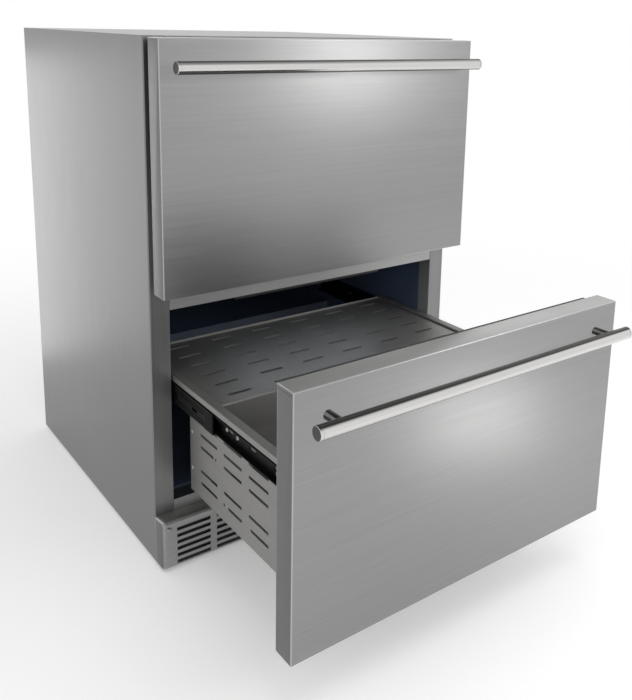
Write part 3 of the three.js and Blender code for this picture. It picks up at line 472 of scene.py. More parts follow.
# the studio round the object
def seenDirectly(tree):
    # 1 for the camera's rays and those of mirrors
    ray = newNode(tree, "ShaderNodeLightPath").outputs
    mirror = mathNode(tree, "MAXIMUM", ray["Is Glossy Ray"], ray["Is Transmission Ray"])
    return mathNode(tree, "MAXIMUM", ray["Is Camera Ray"], mirror)


def mixShader(tree, share, first, second):
    return feed(tree, newNode(tree, "ShaderNodeMixShader"), {0: share, 1: first, 2: second})[0]


def makeFloor():
    bpy.ops.object.select_all(action="DESELECT")
    bpy.ops.mesh.primitive_plane_add(size=studioSet["floorSize"], location=(0, 0, studioSet["floorZ"]))
    floor = bpy.context.object
    floor.name = "studioFloor"
    material, tree, position = newMaterial("studioFloorWhite")
    base = studioSet["floorColor"]
    paper = noise(tree, position, 6.0, 2.0, 0.5)
    color = mixColor(tree, paper, base, tuple(min(1, value * 1.02) for value in base))
    matt = paint(tree, {"Base Color": color, "Roughness": 0.9, "Specular IOR Level": 0.1})
    glow = feed(tree, newNode(tree, "ShaderNodeEmission"), {"Strength": studioSet["floorGlow"]})[0]
    lit = feed(tree, newNode(tree, "ShaderNodeAddShader"), {0: matt, 1: glow})[0]
    away = mapRange(tree, vectorMath(tree, "LENGTH", position)["Value"], *studioSet["floorFade"], smooth=True)
    faded = mixShader(tree, away, lit, newNode(tree, "ShaderNodeEmission").outputs[0])
    seen = mixShader(tree, seenDirectly(tree), matt, faded)
    join(tree, seen, tree.nodes["Material Output"].inputs["Surface"])
    dress(floor, material)


def makeWorld():
    world = bpy.data.worlds.new("studioWorld")
    bpy.context.scene.world = world
    world.use_nodes = True
    tree = world.node_tree
    direction = newNode(tree, "ShaderNodeTexCoord").outputs["Generated"]
    rise = feed(tree, newNode(tree, "ShaderNodeSeparateXYZ"), {0: direction})["Z"]
    levels = (studioSet["backgroundWhite"], studioSet["zenithGrey"])
    dimmed = mapRange(tree, rise, *studioSet["zenithBand"], *levels, smooth=True)
    camera = newNode(tree, "ShaderNodeLightPath").outputs["Is Camera Ray"]
    direct = mathNode(tree, "MULTIPLY", camera, studioSet["backgroundWhite"])
    strength = mathNode(tree, "MAXIMUM", direct, dimmed)
    white = feed(tree, tree.nodes["Background"], {"Color": (1, 1, 1, 1), "Strength": strength})[0]
    fillValues = {"Color": (1, 1, 1, 1), "Strength": studioSet["fillGrey"]}
    fill = feed(tree, newNode(tree, "ShaderNodeBackground"), fillValues)[0]
    seen = mixShader(tree, seenDirectly(tree), fill, white)
    join(tree, seen, tree.nodes["World Output"].inputs["Surface"])
    world.cycles.sampling_method = "NONE"


placeCamera()
placeLamps()
makeFloor()
makeWorld()
bpy.context.scene.view_settings.view_transform = "Standard"
print("studio ready")


# modelling by hand
past = 0.002      # how far a cutter reaches past the face it cuts
beyond = 1.2      # how far one reaches that takes a whole side away
onPlane = 0.0001  # what counts as lying on a plane


def makeActive(thing):
    bpy.ops.object.select_all(action="DESELECT")
    thing.select_set(True)
    bpy.context.view_layer.objects.active = thing


def settled(name):
    # the new object, with its place, turn and size in its mesh
    thing = bpy.context.object
    thing.name = name
    bpy.ops.object.transform_apply(location=True, rotation=True, scale=True)
    return thing


def middleOf(low, high):
    return [(a + b) / 2 for a, b in zip(low, high)]


def span(sign, first, second):
    # two distances from the middle plane, on the side that sign says
    return sorted((sign * first, sign * second))


def blockBetween(name, low, high):
    bpy.ops.object.select_all(action="DESELECT")
    size = [b - a for a, b in zip(low, high)]
    bpy.ops.mesh.primitive_cube_add(size=1, location=middleOf(low, high), scale=size)
    return settled(name)


def blockWithin(name, low, high, lowInset, highInset):
    # lies inside a box by these insets; a negative one reaches out of it
    start = [a + b for a, b in zip(low, lowInset)]
    return blockBetween(name, start, [a - b for a, b in zip(high, highInset)])


def rodAlong(name, axis, radius, start, length, corners=48):
    bpy.ops.object.select_all(action="DESELECT")
    step = Vector({"x": (1, 0, 0), "y": (0, 1, 0), "z": (0, 0, 1)}[axis])
    turns = {"x": (0, math.pi / 2, 0), "y": (math.pi / 2, 0, 0), "z": (0, 0, 0)}[axis]
    centre = Vector(start) + step * (length / 2)
    bpy.ops.mesh.primitive_cylinder_add(
        vertices=corners, radius=radius, depth=length, location=centre, rotation=turns
    )
    return settled(name)


def enterEdit(thing, kind, action):
    makeActive(thing)
    bpy.ops.object.mode_set(mode="EDIT")
    bpy.ops.mesh.select_mode(type=kind)
    bpy.ops.mesh.select_all(action=action)


def pickFaces(thing, test):
    # leaves the object in edit mode with the wanted faces selected
    enterEdit(thing, "FACE", "DESELECT")
    mesh = bmesh.from_edit_mesh(thing.data)
    for face in mesh.faces:
        face.select_set(test(face.calc_center_median(), face.normal))
    bmesh.update_edit_mesh(thing.data)


def looksAlong(axis, sign):
    # test for faces that look along sign times axis
    number = "xyz".index(axis)
    return lambda middle, normal: normal[number] * sign > 0.9


def pickEdges(thing, test):
    enterEdit(thing, "EDGE", "DESELECT")
    mesh = bmesh.from_edit_mesh(thing.data)
    for edge in mesh.edges:
        start, end = (corner.co for corner in edge.verts)
        edge.select_set(test((start + end) / 2, (end - start).normalized()))
    bmesh.update_edit_mesh(thing.data)


def leaveEdit():
    bpy.ops.object.mode_set(mode="OBJECT")


def bevelPicked(thing, width, segments):
    bpy.ops.mesh.bevel(offset=width, segments=segments, affect="EDGES")
    leaveEdit()
    return thing


def bevelAlong(thing, axis, width, segments=4, test=None):
    # rounds the edges that run along one axis; test narrows them by their middle
    number = "xyz".index(axis)
    pickEdges(thing, lambda middle, along: abs(along[number]) > 0.99 and (test is None or test(middle)))
    return bevelPicked(thing, width, segments)


def applied(thing, kind, **values):
    makeActive(thing)
    modifier = thing.modifiers.new(kind.lower(), kind)
    for key, value in values.items():
        setattr(modifier, key, value)
    bpy.ops.object.modifier_apply(modifier=modifier.name)
    return thing


def roundEdges(thing, width, segments=3, angle=30):
    limit = math.radians(angle)
    return applied(thing, "BEVEL", width=width, segments=segments, limit_method="ANGLE", angle_limit=limit)


def combine(thing, operation, others):
    for other in others:
        applied(thing, "BOOLEAN", operation=operation, solver="EXACT", object=other)
        bpy.data.objects.remove(other)
    return thing


def cutWith(thing, *cutters):
    return combine(thing, "DIFFERENCE", cutters)


def uniteWith(thing, *others):
    return combine(thing, "UNION", others)


def cutOff(thing, axis, place, sign):
    # takes away what lies past a plane, on the side that sign says
    low, high = [-beyond] * 3, [beyond] * 3
    number = "xyz".index(axis)
    low[number], high[number] = sorted((place, sign * beyond))
    return cutWith(thing, blockBetween("side", low, high))


def rowOf(thing, count, offset):
    return applied(
        thing, "ARRAY", use_relative_offset=False, use_constant_offset=True, constant_offset_displace=offset,
        count=count,
    )


def slotThrough(low, high, axis):
    # cutter for a slot with round ends, cut along the given axis
    thing = blockBetween("slot", low, high)
    sizes = [b - a for letter, a, b in zip("xyz", low, high) if letter != axis]
    return bevelAlong(thing, axis, min(sizes) * 0.495)   # just under half, so that no face closes


def copyOf(thing, name):
    makeActive(thing)
    bpy.ops.object.duplicate()
    copy = bpy.context.object
    copy.parent = None
    copy.name = name
    for key in list(copy.keys()):
        del copy[key]
    return copy


def finished(thing, slot, body, replaces=(), angle=32, material=None):
    makeActive(thing)
    bpy.ops.object.shade_smooth_by_angle(angle=math.radians(angle))
    dress(thing, material or finishes[slot])
    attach(thing, body)
    if replaces:
        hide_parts(*replaces)
    return thing


def standIn(thing, node, angle=32, material=None):
    # finished in place of a CAD node, in its slot and on its body
    return finished(thing, slotOf[node], bodyOf[node], [node], angle, material)


screwSet = {
    "dome": 0.85,          # share of the head's height
    "recessDepth": 0.45,   # share of the head's height
    "recessReach": 0.45,   # shares of the head's radius
    "recessHalf": 0.1,
}


def screwHead(name, centre, axis, sign, radius, height):
    # domed head with a cross recess, standing on a face that looks along sign times axis
    number = "xyz".index(axis)
    start = list(centre)
    start[number] += min(0, sign * height)
    head = rodAlong(name, axis, radius, start, height, 24)
    pickFaces(head, looksAlong(axis, sign))
    bevelPicked(head, height * screwSet["dome"], 4)
    top = centre[number] + sign * height
    depths = sorted((top - sign * height * screwSet["recessDepth"], top + sign * height))
    others = [place for place in range(3) if place != number]
    for along, across in (others, others[::-1]):
        low, high = [0, 0, 0], [0, 0, 0]
        low[number], high[number] = depths
        for place, share in ((along, screwSet["recessReach"]), (across, screwSet["recessHalf"])):
            low[place], high[place] = centre[place] - radius * share, centre[place] + radius * share
        cutWith(head, blockBetween("recess", low, high))
    return head


# fronts
frontSet = {
    "sheet": 0.0012,
    "hem": 0.014,
    "fold": 0.0011,         # radius of the folded edges
    "seamDrop": 0.0062,     # seam where the top flange laps over the side
    "seamWidth": 0.0005,
    "seamDepth": 0.0004,
    "seamEnds": (0.002, 0.001),
    "greys": ((0.265, 0.265, 0.264), (0.325, 0.325, 0.323)),
    "topGrey": {"upper": 0.85, "lower": 0.55},   # painted light on the front's top flange: how light it is
}


def makeFront(drawer):
    node = f"{drawer}_front_skin"
    low, high = boxOf(node)
    skin = blockBetween(f"{drawer}FrontSkin", low, high)
    roundEdges(skin, frontSet["fold"])
    hem = frontSet["hem"]
    sheets = (frontSet["sheet"],) * 3
    inside = blockWithin("inside", low, high, sheets, sheets)
    rear = (low[0], high[1], low[2])
    cutWith(skin, inside, blockWithin("mouth", rear, high, (hem, -past, hem), (hem, -past, hem)))
    seamLow = high[2] - frontSet["seamDrop"]
    depth = frontSet["seamDepth"]
    frontEnd, rearEnd = frontSet["seamEnds"]
    for edge in (low[0], high[0]):
        start = (edge - depth, low[1] + frontEnd, seamLow)
        end = (edge + depth, high[1] - rearEnd, seamLow + frontSet["seamWidth"])
        cutWith(skin, blockBetween("seam", start, end))
    # painted light on the top faces, painted shade on the sides, painted highlight along the edges
    steel = brushedSteel(
        f"{drawer}FrontSteel", *frontSet["greys"], horizontal, 0.40,
        edgeOf=(low, high), topGrey=frontSet["topGrey"][drawer],
    )
    standIn(skin, node, material=steel)


# handles
handleSet = {
    "chamfer": 0.0010,
    "capLength": 0.0042,
    "capGroove": 0.0004,
    "ringReach": 0.002,      # cutters of the groove stand out of the bar
    "postInset": 0.0006,
    "postRound": 0.0005,
    "saddleClear": 0.0002,
    "saddleHalf": 0.02,
}


def keepGlareOff(thing):
    # the two front lamps don't burn a white patch into it
    for lamp in ("frontRight", "lowRight"):
        linked = bpy.data.objects[lamp].light_linking
        if linked.receiver_collection is None:
            linked.receiver_collection = bpy.data.collections.new(f"{lamp}Receivers")
        linked.receiver_collection.objects.link(thing)
        linked.receiver_collection.collection_objects[-1].light_linking.link_state = "EXCLUDE"


def finishHandle(thing, node):
    standIn(thing, node)
    keepGlareOff(thing)
    thing.visible_glossy = False   # the satin front doesn't mirror it


def makeHandle(drawer):
    node = f"{drawer}_handle_bar"
    low, high = boxOf(node)
    radius = (high[2] - low[2]) / 2
    centre = middleOf(low, high)[1:]
    bar = rodAlong(f"{drawer}HandleBar", "x", radius, (low[0], *centre), high[0] - low[0], 64)
    roundEdges(bar, handleSet["chamfer"])
    groove = handleSet["capGroove"]
    for x in (low[0] + handleSet["capLength"], high[0] - handleSet["capLength"]):
        outer = rodAlong("ringOuter", "x", radius + handleSet["ringReach"], (x, *centre), groove, 64)
        inner = rodAlong("ringInner", "x", radius - groove, (x - past, *centre), groove + 2 * past, 64)
        cutWith(bar, cutWith(outer, inner))
    finishHandle(bar, node)
    for side, sign in sides:
        makeHandlePost(drawer, side, centre, radius)


def makeHandlePost(drawer, side, barCentre, barRadius):
    node = f"{drawer}_handle_post_{side}"
    low, high = boxOf(node)
    x, y, z = middleOf(low, high)
    y = barCentre[0]
    radius = (high[0] - low[0]) / 2
    post = rodAlong(f"{drawer}HandlePost_{side}", "y", radius, (x, y, z), high[1] - y)
    pickFaces(post, looksAlong("y", 1))
    bpy.ops.mesh.inset(thickness=handleSet["postInset"], depth=0)
    leaveEdit()
    roundEdges(post, handleSet["postRound"], 2)
    half = handleSet["saddleHalf"]
    saddleRadius = barRadius + handleSet["saddleClear"]
    cutWith(post, rodAlong("saddle", "x", saddleRadius, (x - half, *barCentre), 2 * half, 64))
    cutOff(post, "y", y, -1)
    finishHandle(post, node)


for drawer in drawers:
    makeFront(drawer)
    makeHandle(drawer)
print("fronts and handles made")


# drawer boxes of folded sheet
boxSet = {
    "sheet": 0.0012,
    "fold": 0.0028,
    "insideFold": 0.0018,
    "halfWidth": 0.2532,
    "deepRear": {"upper": 0.25325, "lower": -0.09675},
    "shallowFloor": 0.262,
    "above": 0.02,           # the solids reach this far over the rim before they are cut off
    "rimLip": 0.0088,
    "rimFold": 0.0011,
    "rimCover": 0.0008,      # the rim's sheet covers the walls' upper ends by this much
    "rimClear": 0.0001,      # keeps the rim's faces off the walls' planes
    "slotRows": (0.056, 0.0764, 0.0968, 0.1376, 0.158),   # below the rim
    "slotColumns": 3,
    "slotHeight": 0.005,
    "slotLength": 0.054,
    "slotFirst": 0.036,      # first slot in front of the deep part's rear
    "slotFloor": 0.006,      # no slot lies closer to the floor
    "columnPitch": 0.074,
    "holeRadius": 0.0026,
    # column, row: cut back at the rear, cut back at the front, hole's distance from the rear
    "shortSlots": {(0, 2): (0.0, 0.012, 0.049), (1, 4): (0.013, 0.0, 0.001), (2, 4): (0.005, 0.0, None)},
    "cutterHalf": 0.3,
    "screwDrops": (0.083, 0.145),
    "screwInset": 0.006,
    "screwSize": (0.0042, 0.0016),
}


def boxSolid(name, drawer, low, high, grow, fold):
    # the upper box is deep all through, the lower one is shallow behind its deep part
    half = boxSet["halfWidth"] - grow
    front, rear, bottom, top = low[1] + grow, high[1] - grow, low[2] + grow, high[2] + boxSet["above"]
    deepRear = rear if drawer == "upper" else boxSet["deepRear"][drawer] - grow
    solid = blockBetween(name, (-half, front, bottom), (half, deepRear, top))
    if drawer == "lower":
        floor = boxSet["shallowFloor"] + grow
        uniteWith(solid, blockBetween("shallow", (-half, front, floor), (half, rear, top)))
    return roundEdges(solid, fold, 4)


def addRim(box, sign, low, high):
    # level sheet over a wall's upper end, with a lip that hangs down outside
    sheet = boxSet["sheet"]
    rim = high[2]
    front, rear = low[1] + boxSet["rimClear"], high[1] - boxSet["rimClear"]
    inner = boxSet["halfWidth"] - sheet - boxSet["rimClear"]
    ends = span(sign, inner, high[0])
    edge = span(sign, high[0] - sheet, high[0])
    flat = blockBetween("flat", (ends[0], front, rim - sheet), (ends[1], rear, rim))
    uniteWith(flat, blockBetween("lip", (edge[0], front, rim - boxSet["rimLip"]), (edge[1], rear, rim)))
    bevelAlong(flat, "y", boxSet["rimFold"], 4, lambda middle: middle.z > rim - onPlane)
    uniteWith(box, flat)


def makeDrawerBox(drawer):
    node = f"{drawer}_drawer_box"
    low, high = boxOf(node)
    rim = high[2]
    deepRear = boxSet["deepRear"][drawer]
    box = boxSolid(f"{drawer}DrawerBox", drawer, low, high, 0.0, boxSet["fold"])
    cutWith(box, boxSolid("room", drawer, low, high, boxSet["sheet"], boxSet["insideFold"]))
    cutOff(box, "z", rim - boxSet["rimCover"], 1)
    for side, sign in sides:
        addRim(box, sign, low, high)
    half = boxSet["slotHeight"] / 2
    reach = boxSet["cutterHalf"]
    for column in range(boxSet["slotColumns"]):
        back = deepRear - boxSet["slotFirst"] - column * boxSet["columnPitch"]
        for row, drop in enumerate(boxSet["slotRows"]):
            z = rim - drop
            if z < low[2] + boxSet["slotFloor"]:
                continue
            fromRear, fromFront, hole = boxSet["shortSlots"].get((column, row), (0.0, 0.0, None))
            start = back - boxSet["slotLength"] + fromFront
            cutWith(box, slotThrough((-reach, start, z - half), (reach, back - fromRear, z + half), "x"))
            if hole is not None:
                holeStart = (-reach, back - hole, z)
                cutWith(box, rodAlong("hole", "x", boxSet["holeRadius"], holeStart, 2 * reach, 16))
    standIn(box, node)
    for side, sign in sides:
        for number, drop in enumerate(boxSet["screwDrops"]):
            centre = (sign * boxSet["halfWidth"], deepRear - boxSet["screwInset"], rim - drop)
            head = screwHead(f"{drawer}BoxScrew_{side}_{number}", centre, "x", sign, *boxSet["screwSize"])
            finished(head, "screw_steel", f"{drawer}_drawer")


# raised shelf over the rear of the lower drawer
shelfSet = {
    "sheet": 0.0012,
    "fold": 0.003,
    "below": 0.02,     # the solid reaches this far down before it is cut off
    "slotLength": 0.040,
    "slotWidth": 0.006,
    "pitch": (0.082, 0.042),
    "count": (6, 6),
    "firstRow": 0.024,
}


def makeShelf():
    low, high = boxOf("lower_shelf")
    sheet, fold, below = shelfSet["sheet"], shelfSet["fold"], shelfSet["below"]
    plate = blockWithin("lowerShelf", low, high, (0, 0, -below), (0, 0, 0))
    roundEdges(plate, fold, 5)
    room = blockWithin("room", low, high, (sheet, sheet, -2 * below), (sheet, sheet, sheet))
    roundEdges(room, fold - sheet, 5)
    cutWith(plate, room)
    cutOff(plate, "z", low[2], -1)
    columns, rows = shelfSet["count"]
    pitchX, pitchY = shelfSet["pitch"]
    length = shelfSet["slotLength"]
    startX = -(columns - 1) / 2 * pitchX - length / 2
    startY = low[1] + shelfSet["firstRow"]
    end = (startX + length, startY + shelfSet["slotWidth"], high[2] + past)
    cutter = slotThrough((startX, startY, high[2] - past), end, "z")
    rowOf(cutter, columns, (pitchX, 0, 0))
    rowOf(cutter, rows, (0, pitchY, 0))
    cutWith(plate, cutter)
    standIn(plate, "lower_shelf")


# telescopic slides
slideSet = {
    "sheet": 0.0015,
    "fold": 0.0016,
    "middleClear": 0.00035,   # the middle member's surfaces keep off the outer one's
    "slots": 4,
    "slotStart": 0.045,
    "slotLength": 0.018,
    "slotHeight": 0.0052,
    "slotPitch": 0.064,
    "beads": (-0.0106, -0.0062, 0.0062, 0.0106),   # long grooves pressed into the web, off its middle
    "beadHeight": 0.0020,
    "beadDepth": 0.0008,
    "screws": ((0.19, 0.0), (0.159, 0.0), (0.052, 0.005)),   # behind the front end, below the middle
    "screwSize": (0.0034, 0.0016),
    "blockLength": 0.022,
    "blockAhead": 0.005,     # the stop stands out of the middle member's front end
    "blockRound": 0.0014,
    "blockWall": 0.0019,
    "windowHalf": 0.01465,
    "blockRibs": 5,
    "ribMargin": 0.003,
    "ribSpare": 0.004,       # length of the stop without ribs
    "ribWidth": 0.0014,
    "ribDepth": 0.0007,
}


def makeChannel(name, sign, web, flange, low, high):
    # web and flange are distances from the middle plane; the channel is open on the flange's side
    sheet = slideSet["sheet"]
    toward = 1 if flange > web else -1
    front, rear = low[1], high[1]
    ends = span(sign, web, flange)
    channel = blockBetween(name, (ends[0], front, low[2]), (ends[1], rear, high[2]))
    bevelAlong(channel, "y", slideSet["fold"], 4, lambda middle: abs(abs(middle.x) - web) < onPlane)
    ends = span(sign, web + toward * sheet, flange + toward * past)
    roomLow = (ends[0], front - past, low[2] + sheet)
    cutWith(channel, blockBetween("room", roomLow, (ends[1], rear + past, high[2] - sheet)))
    middle = (low[2] + high[2]) / 2
    half = slideSet["slotHeight"] / 2
    start = front + slideSet["slotStart"]
    ends = span(sign, web - toward * past, web + toward * (sheet + past))
    end = (ends[1], start + slideSet["slotLength"], middle + half)
    cutter = slotThrough((ends[0], start, middle - half), end, "x")
    rowOf(cutter, slideSet["slots"], (0, slideSet["slotPitch"], 0))
    cutWith(channel, cutter)
    ends = span(sign, web - toward * past, web + toward * slideSet["beadDepth"])
    half = slideSet["beadHeight"] / 2
    for off in slideSet["beads"]:
        beadLow = (ends[0], front - past, middle + off - half)
        cutWith(channel, blockBetween("bead", beadLow, (ends[1], rear + past, middle + off + half)))
    return channel


def makeEndBlock(name, sign, near, far, low, high, body):
    # plastic stop at the front of the middle member, with a window for the inner one
    length = slideSet["blockLength"] + slideSet["blockAhead"]
    start = low[1] - slideSet["blockAhead"]
    ends = span(sign, near, far)
    stop = blockBetween(name, (ends[0], start, low[2]), (ends[1], start + length, high[2]))
    roundEdges(stop, slideSet["blockRound"])
    middle = (low[2] + high[2]) / 2
    half = slideSet["windowHalf"]
    reach = span(sign, near - past, far - slideSet["blockWall"])
    windowLow = (reach[0], start - 2 * past, middle - half)
    cutWith(stop, blockBetween("window", windowLow, (reach[1], start + length + past, middle + half)))
    pitch = (length - slideSet["ribSpare"]) / slideSet["blockRibs"]
    depth = slideSet["ribDepth"]
    margin = slideSet["ribMargin"]
    across = span(sign, far - depth, far + past)
    grooves = [(ends[0] - past, ends[1] + past, edge - depth, edge + depth) for edge in (low[2], high[2])]
    grooves.append((*across, low[2] + margin, high[2] - margin))
    first = start + margin
    for left, right, bottom, top in grooves:
        groove = blockBetween("groove", (left, first, bottom), (right, first + slideSet["ribWidth"], top))
        rowOf(groove, slideSet["blockRibs"], (0, pitch, 0))
        cutWith(stop, groove)
    finished(stop, "slide_steel", body)


def makeSlide(drawer, side, sign):
    spots = {}
    for part in ("outer", "middle", "inner"):
        node = f"{drawer}_slide_{part}_{side}"
        low, high = boxOf(node)
        near, far = sorted((abs(low[0]), abs(high[0])))
        spots[part] = (near, far, low, high)
        clear = slideSet["middleClear"] if part == "middle" else 0.0
        web, flange = (near, far) if part == "inner" else (far - clear, near)
        lower, upper = (*low[:2], low[2] + clear), (*high[:2], high[2] - clear)
        channel = makeChannel(f"{drawer}Slide_{part}_{side}", sign, web, flange, lower, upper)
        standIn(channel, node)
    makeEndBlock(f"{drawer}EndBlock_{side}", sign, *spots["middle"], f"{drawer}_runners")
    near, far, low, high = spots["inner"]
    for number, (place, drop) in enumerate(slideSet["screws"]):
        centre = (sign * (near + slideSet["sheet"]), low[1] + place, (low[2] + high[2]) / 2 - drop)
        head = screwHead(f"{drawer}SlideScrew_{side}_{number}", centre, "x", sign, *slideSet["screwSize"])
        finished(head, "screw_steel", f"{drawer}_drawer")


for drawer in drawers:
    makeDrawerBox(drawer)
    for side, sign in sides:
        makeSlide(drawer, side, sign)
makeShelf()
print("drawer boxes, shelf and slides made")


# toe grille
grilleSet = {
    "sheet": 0.0015,
    "behind": 0.03,      # the solids reach this far back and down before they are cut off
    "bend": 0.00675,
    "cornerBend": 0.007,
    "columns": 8,
    "rows": 6,
    "margin": 0.025,
    "web": 0.0115,
    "slotHeight": 0.0062,
    "slotPitch": 0.0116,
    "slotRound": 0.0006,
    "topMargin": 0.0135,
    "screwInset": 0.011,
    "screwDrop": 0.014,
    "screwBore": 0.0027,
    "screwDome": 0.003,
    "screwRound": 0.00282,
    "screwSeat": 0.0003,     # the head reaches back to the grille's face
    "screwShank": 0.0023,
}


def grilleSolid(name, low, high, grow):
    behind = grilleSet["behind"]
    front = low[1] + grow
    top = high[2] - grow - onPlane
    solid = blockWithin(name, low, high, (grow, grow, -behind), (grow, -behind, grow))
    bevelAlong(solid, "z", grilleSet["cornerBend"] - grow, 6, lambda middle: abs(middle.y - front) < onPlane)
    pickEdges(solid, lambda middle, along: abs(along.z) < 0.5 and middle.z > top and middle.y < high[1])
    return bevelPicked(solid, grilleSet["bend"] - grow, 6)


def makeGrille():
    low, high = boxOf("toe_grille")
    grille = grilleSolid("toeGrille", low, high, 0.0)
    cutWith(grille, grilleSolid("room", low, high, grilleSet["sheet"]))
    cutOff(grille, "z", low[2], -1)
    cutOff(grille, "y", high[1], 1)
    clear = high[0] - low[0] - 2 * grilleSet["margin"]
    columns = grilleSet["columns"]
    web = grilleSet["web"]
    width = (clear - (columns - 1) * web) / columns
    top = high[2] - grilleSet["topMargin"]
    startX = low[0] + grilleSet["margin"]
    slotLow = (startX, low[1] - past, top - grilleSet["slotHeight"])
    slots = blockBetween("slots", slotLow, (startX + width, low[1] + past, top))
    bevelAlong(slots, "y", grilleSet["slotRound"], 2)
    rowOf(slots, columns, (width + web, 0, 0))
    rowOf(slots, grilleSet["rows"], (0, 0, -grilleSet["slotPitch"]))
    cutWith(grille, slots)
    z = high[2] - grilleSet["screwDrop"]
    for side, sign in sides:
        x = sign * (high[0] - grilleSet["screwInset"])
        cutWith(grille, rodAlong("bore", "y", grilleSet["screwBore"], (x, low[1] - past, z), 2 * past, 24))
    # painted light on the top faces, painted shade on the sides, painted highlight along the edges
    steel = brushedSteel("grilleSteel", *frameGreys, horizontal, 0.44, edgeOf=(low, high), topGrey=0.6)
    standIn(grille, "toe_grille", material=steel)


def makeGrilleScrew(side):
    node = f"grille_screw_{side}"
    low, high = boxOf(node)
    x, y, z = middleOf(low, high)
    y = low[1]
    dome = grilleSet["screwDome"]
    radius = (high[0] - low[0]) / 2
    screw = rodAlong(f"grilleScrew_{side}", "y", radius, (x, y, z), dome + grilleSet["screwSeat"], 32)
    pickFaces(screw, looksAlong("y", -1))
    bevelPicked(screw, grilleSet["screwRound"], 7)
    start = y + dome / 2
    uniteWith(screw, rodAlong("shank", "y", grilleSet["screwShank"], (x, start, z), high[1] - start, 16))
    standIn(screw, node, 40, finishes["front_frame_steel"])


makeGrille()
for side, sign in sides:
    makeGrilleScrew(side)
print("toe grille made")


# cold space
linerSet = {
    "wall": 0.0015,
    "cornerRadius": 0.012,
    "lipReach": (0.0042, 0.0004, 0.00252),
    "stepRear": 0.26825,    # front face of the step over the machine space
    "stepTop": 0.25,
    "mouthAhead": 0.04,     # the solids reach this far out of the mouth before they are cut off
}


def linerSolid(name, low, high, grow):
    # the cold space as one solid: a deep part in front of the step and a shallow one above it
    front = low[1] - linerSet["mouthAhead"]
    wall = linerSet["wall"]
    right, top = high[0] - grow, high[2] - grow
    deepEnd = (right, linerSet["stepRear"] + wall - grow, top)
    deep = blockBetween(name, (low[0] + grow, front, low[2] + grow), deepEnd)
    aboveStart = (low[0] + grow, front, linerSet["stepTop"] - wall + grow)
    above = blockBetween("above", aboveStart, (right, high[1] - grow, top))
    for part in (deep, above):
        roundEdges(part, linerSet["cornerRadius"] - grow, 4)
    return uniteWith(deep, above)


def makeLiner():
    low, high = boxOf("inner_liner")
    liner = linerSolid("innerLiner", low, high, 0.0)
    cutOff(liner, "y", low[1], -1)
    x, y, z = linerSet["lipReach"]
    mouth = (high[0], low[1], high[2])
    uniteWith(liner, blockWithin("lip", low, mouth, (-x, -y, -z), (-x, -y, -z)))
    cutWith(liner, linerSolid("room", low, high, linerSet["wall"]))
    standIn(liner, "inner_liner")


lightSet = {
    "walls": (0.0032, 0.00416),   # across and along
    "lensClear": 0.0002,
    "lensDrop": 0.0004,     # the lens lies this far inside the underside
    "lensRound": 0.0008,
    "corner": 0.0025,
    "rise": 0.0034,         # how far the lens stands up into its housing
}


def lightRoom(name, low, high, clear, start, end):
    x, y = (wall + clear for wall in lightSet["walls"])
    upper = (high[0] - x, high[1] - y, low[2] + end)
    return blockBetween(name, (low[0] + x, low[1] + y, low[2] + start), upper)


def makeLight(place):
    # dark housing with the glowing lens let into its underside
    node = f"{place}_light"
    low, high = boxOf(node)
    rise, clear = lightSet["rise"], lightSet["lensClear"]
    housing = blockBetween(f"{place}LightHousing", low, high)
    pickEdges(housing, lambda middle, along: middle.z < low[2] + onPlane)
    bevelPicked(housing, lightSet["corner"], 3)
    cutWith(housing, lightRoom("seat", low, high, 0.0, -past, rise))
    finished(housing, "black_plastic", "cabinet")
    lens = lightRoom(f"{place}LightLens", low, high, clear, lightSet["lensDrop"], rise - clear)
    roundEdges(lens, lightSet["lensRound"], 2)
    standIn(lens, node)


makeLiner()
makeLight("upper")
makeLight("lower")
print("liner and lights made")


# seals and inner panels of the fronts
sealSet = {
    "width": 0.012,
    "corner": 0.010,
    "round": 0.0008,
    "grooves": (0.3, 0.62),    # share of the depth
    "grooveDepth": 0.0028,
    "grooveWidth": 0.0022,
    "cutterOut": 0.02,         # the groove's cutter stands out of the seal by this much
}
panelSet = {
    "sheet": 0.0015,
    "corner": 0.006,
    "round": 0.0025,
    "frame": 0.034,
    "grooveWidth": 0.0045,
    "grooveDepth": 0.0008,
    "grooveCorner": 0.012,
}


def ringBetween(name, low, high, width, corner):
    ring = bevelAlong(blockBetween(name, low, high), "y", corner, 5)
    insets = (width, -past, width)
    hole = blockWithin("hole", low, high, insets, insets)
    return cutWith(ring, bevelAlong(hole, "y", max(0.001, corner - width * 0.5), 5))


def makeSeal(drawer):
    node = f"{drawer}_gasket"
    low, high = boxOf(node)
    seal = ringBetween(f"{drawer}Gasket", low, high, sealSet["width"], sealSet["corner"])
    roundEdges(seal, sealSet["round"], 2)
    width, out = sealSet["grooveWidth"], sealSet["cutterOut"]
    for share in sealSet["grooves"]:
        front = low[1] + share * (high[1] - low[1]) - width / 2
        grooveLow = (low[0] - out, front, low[2] - out)
        grooveHigh = (high[0] + out, front + width, high[2] + out)
        depth = out + sealSet["grooveDepth"]
        cutWith(seal, ringBetween("groove", grooveLow, grooveHigh, depth, sealSet["corner"]))
    standIn(seal, node)


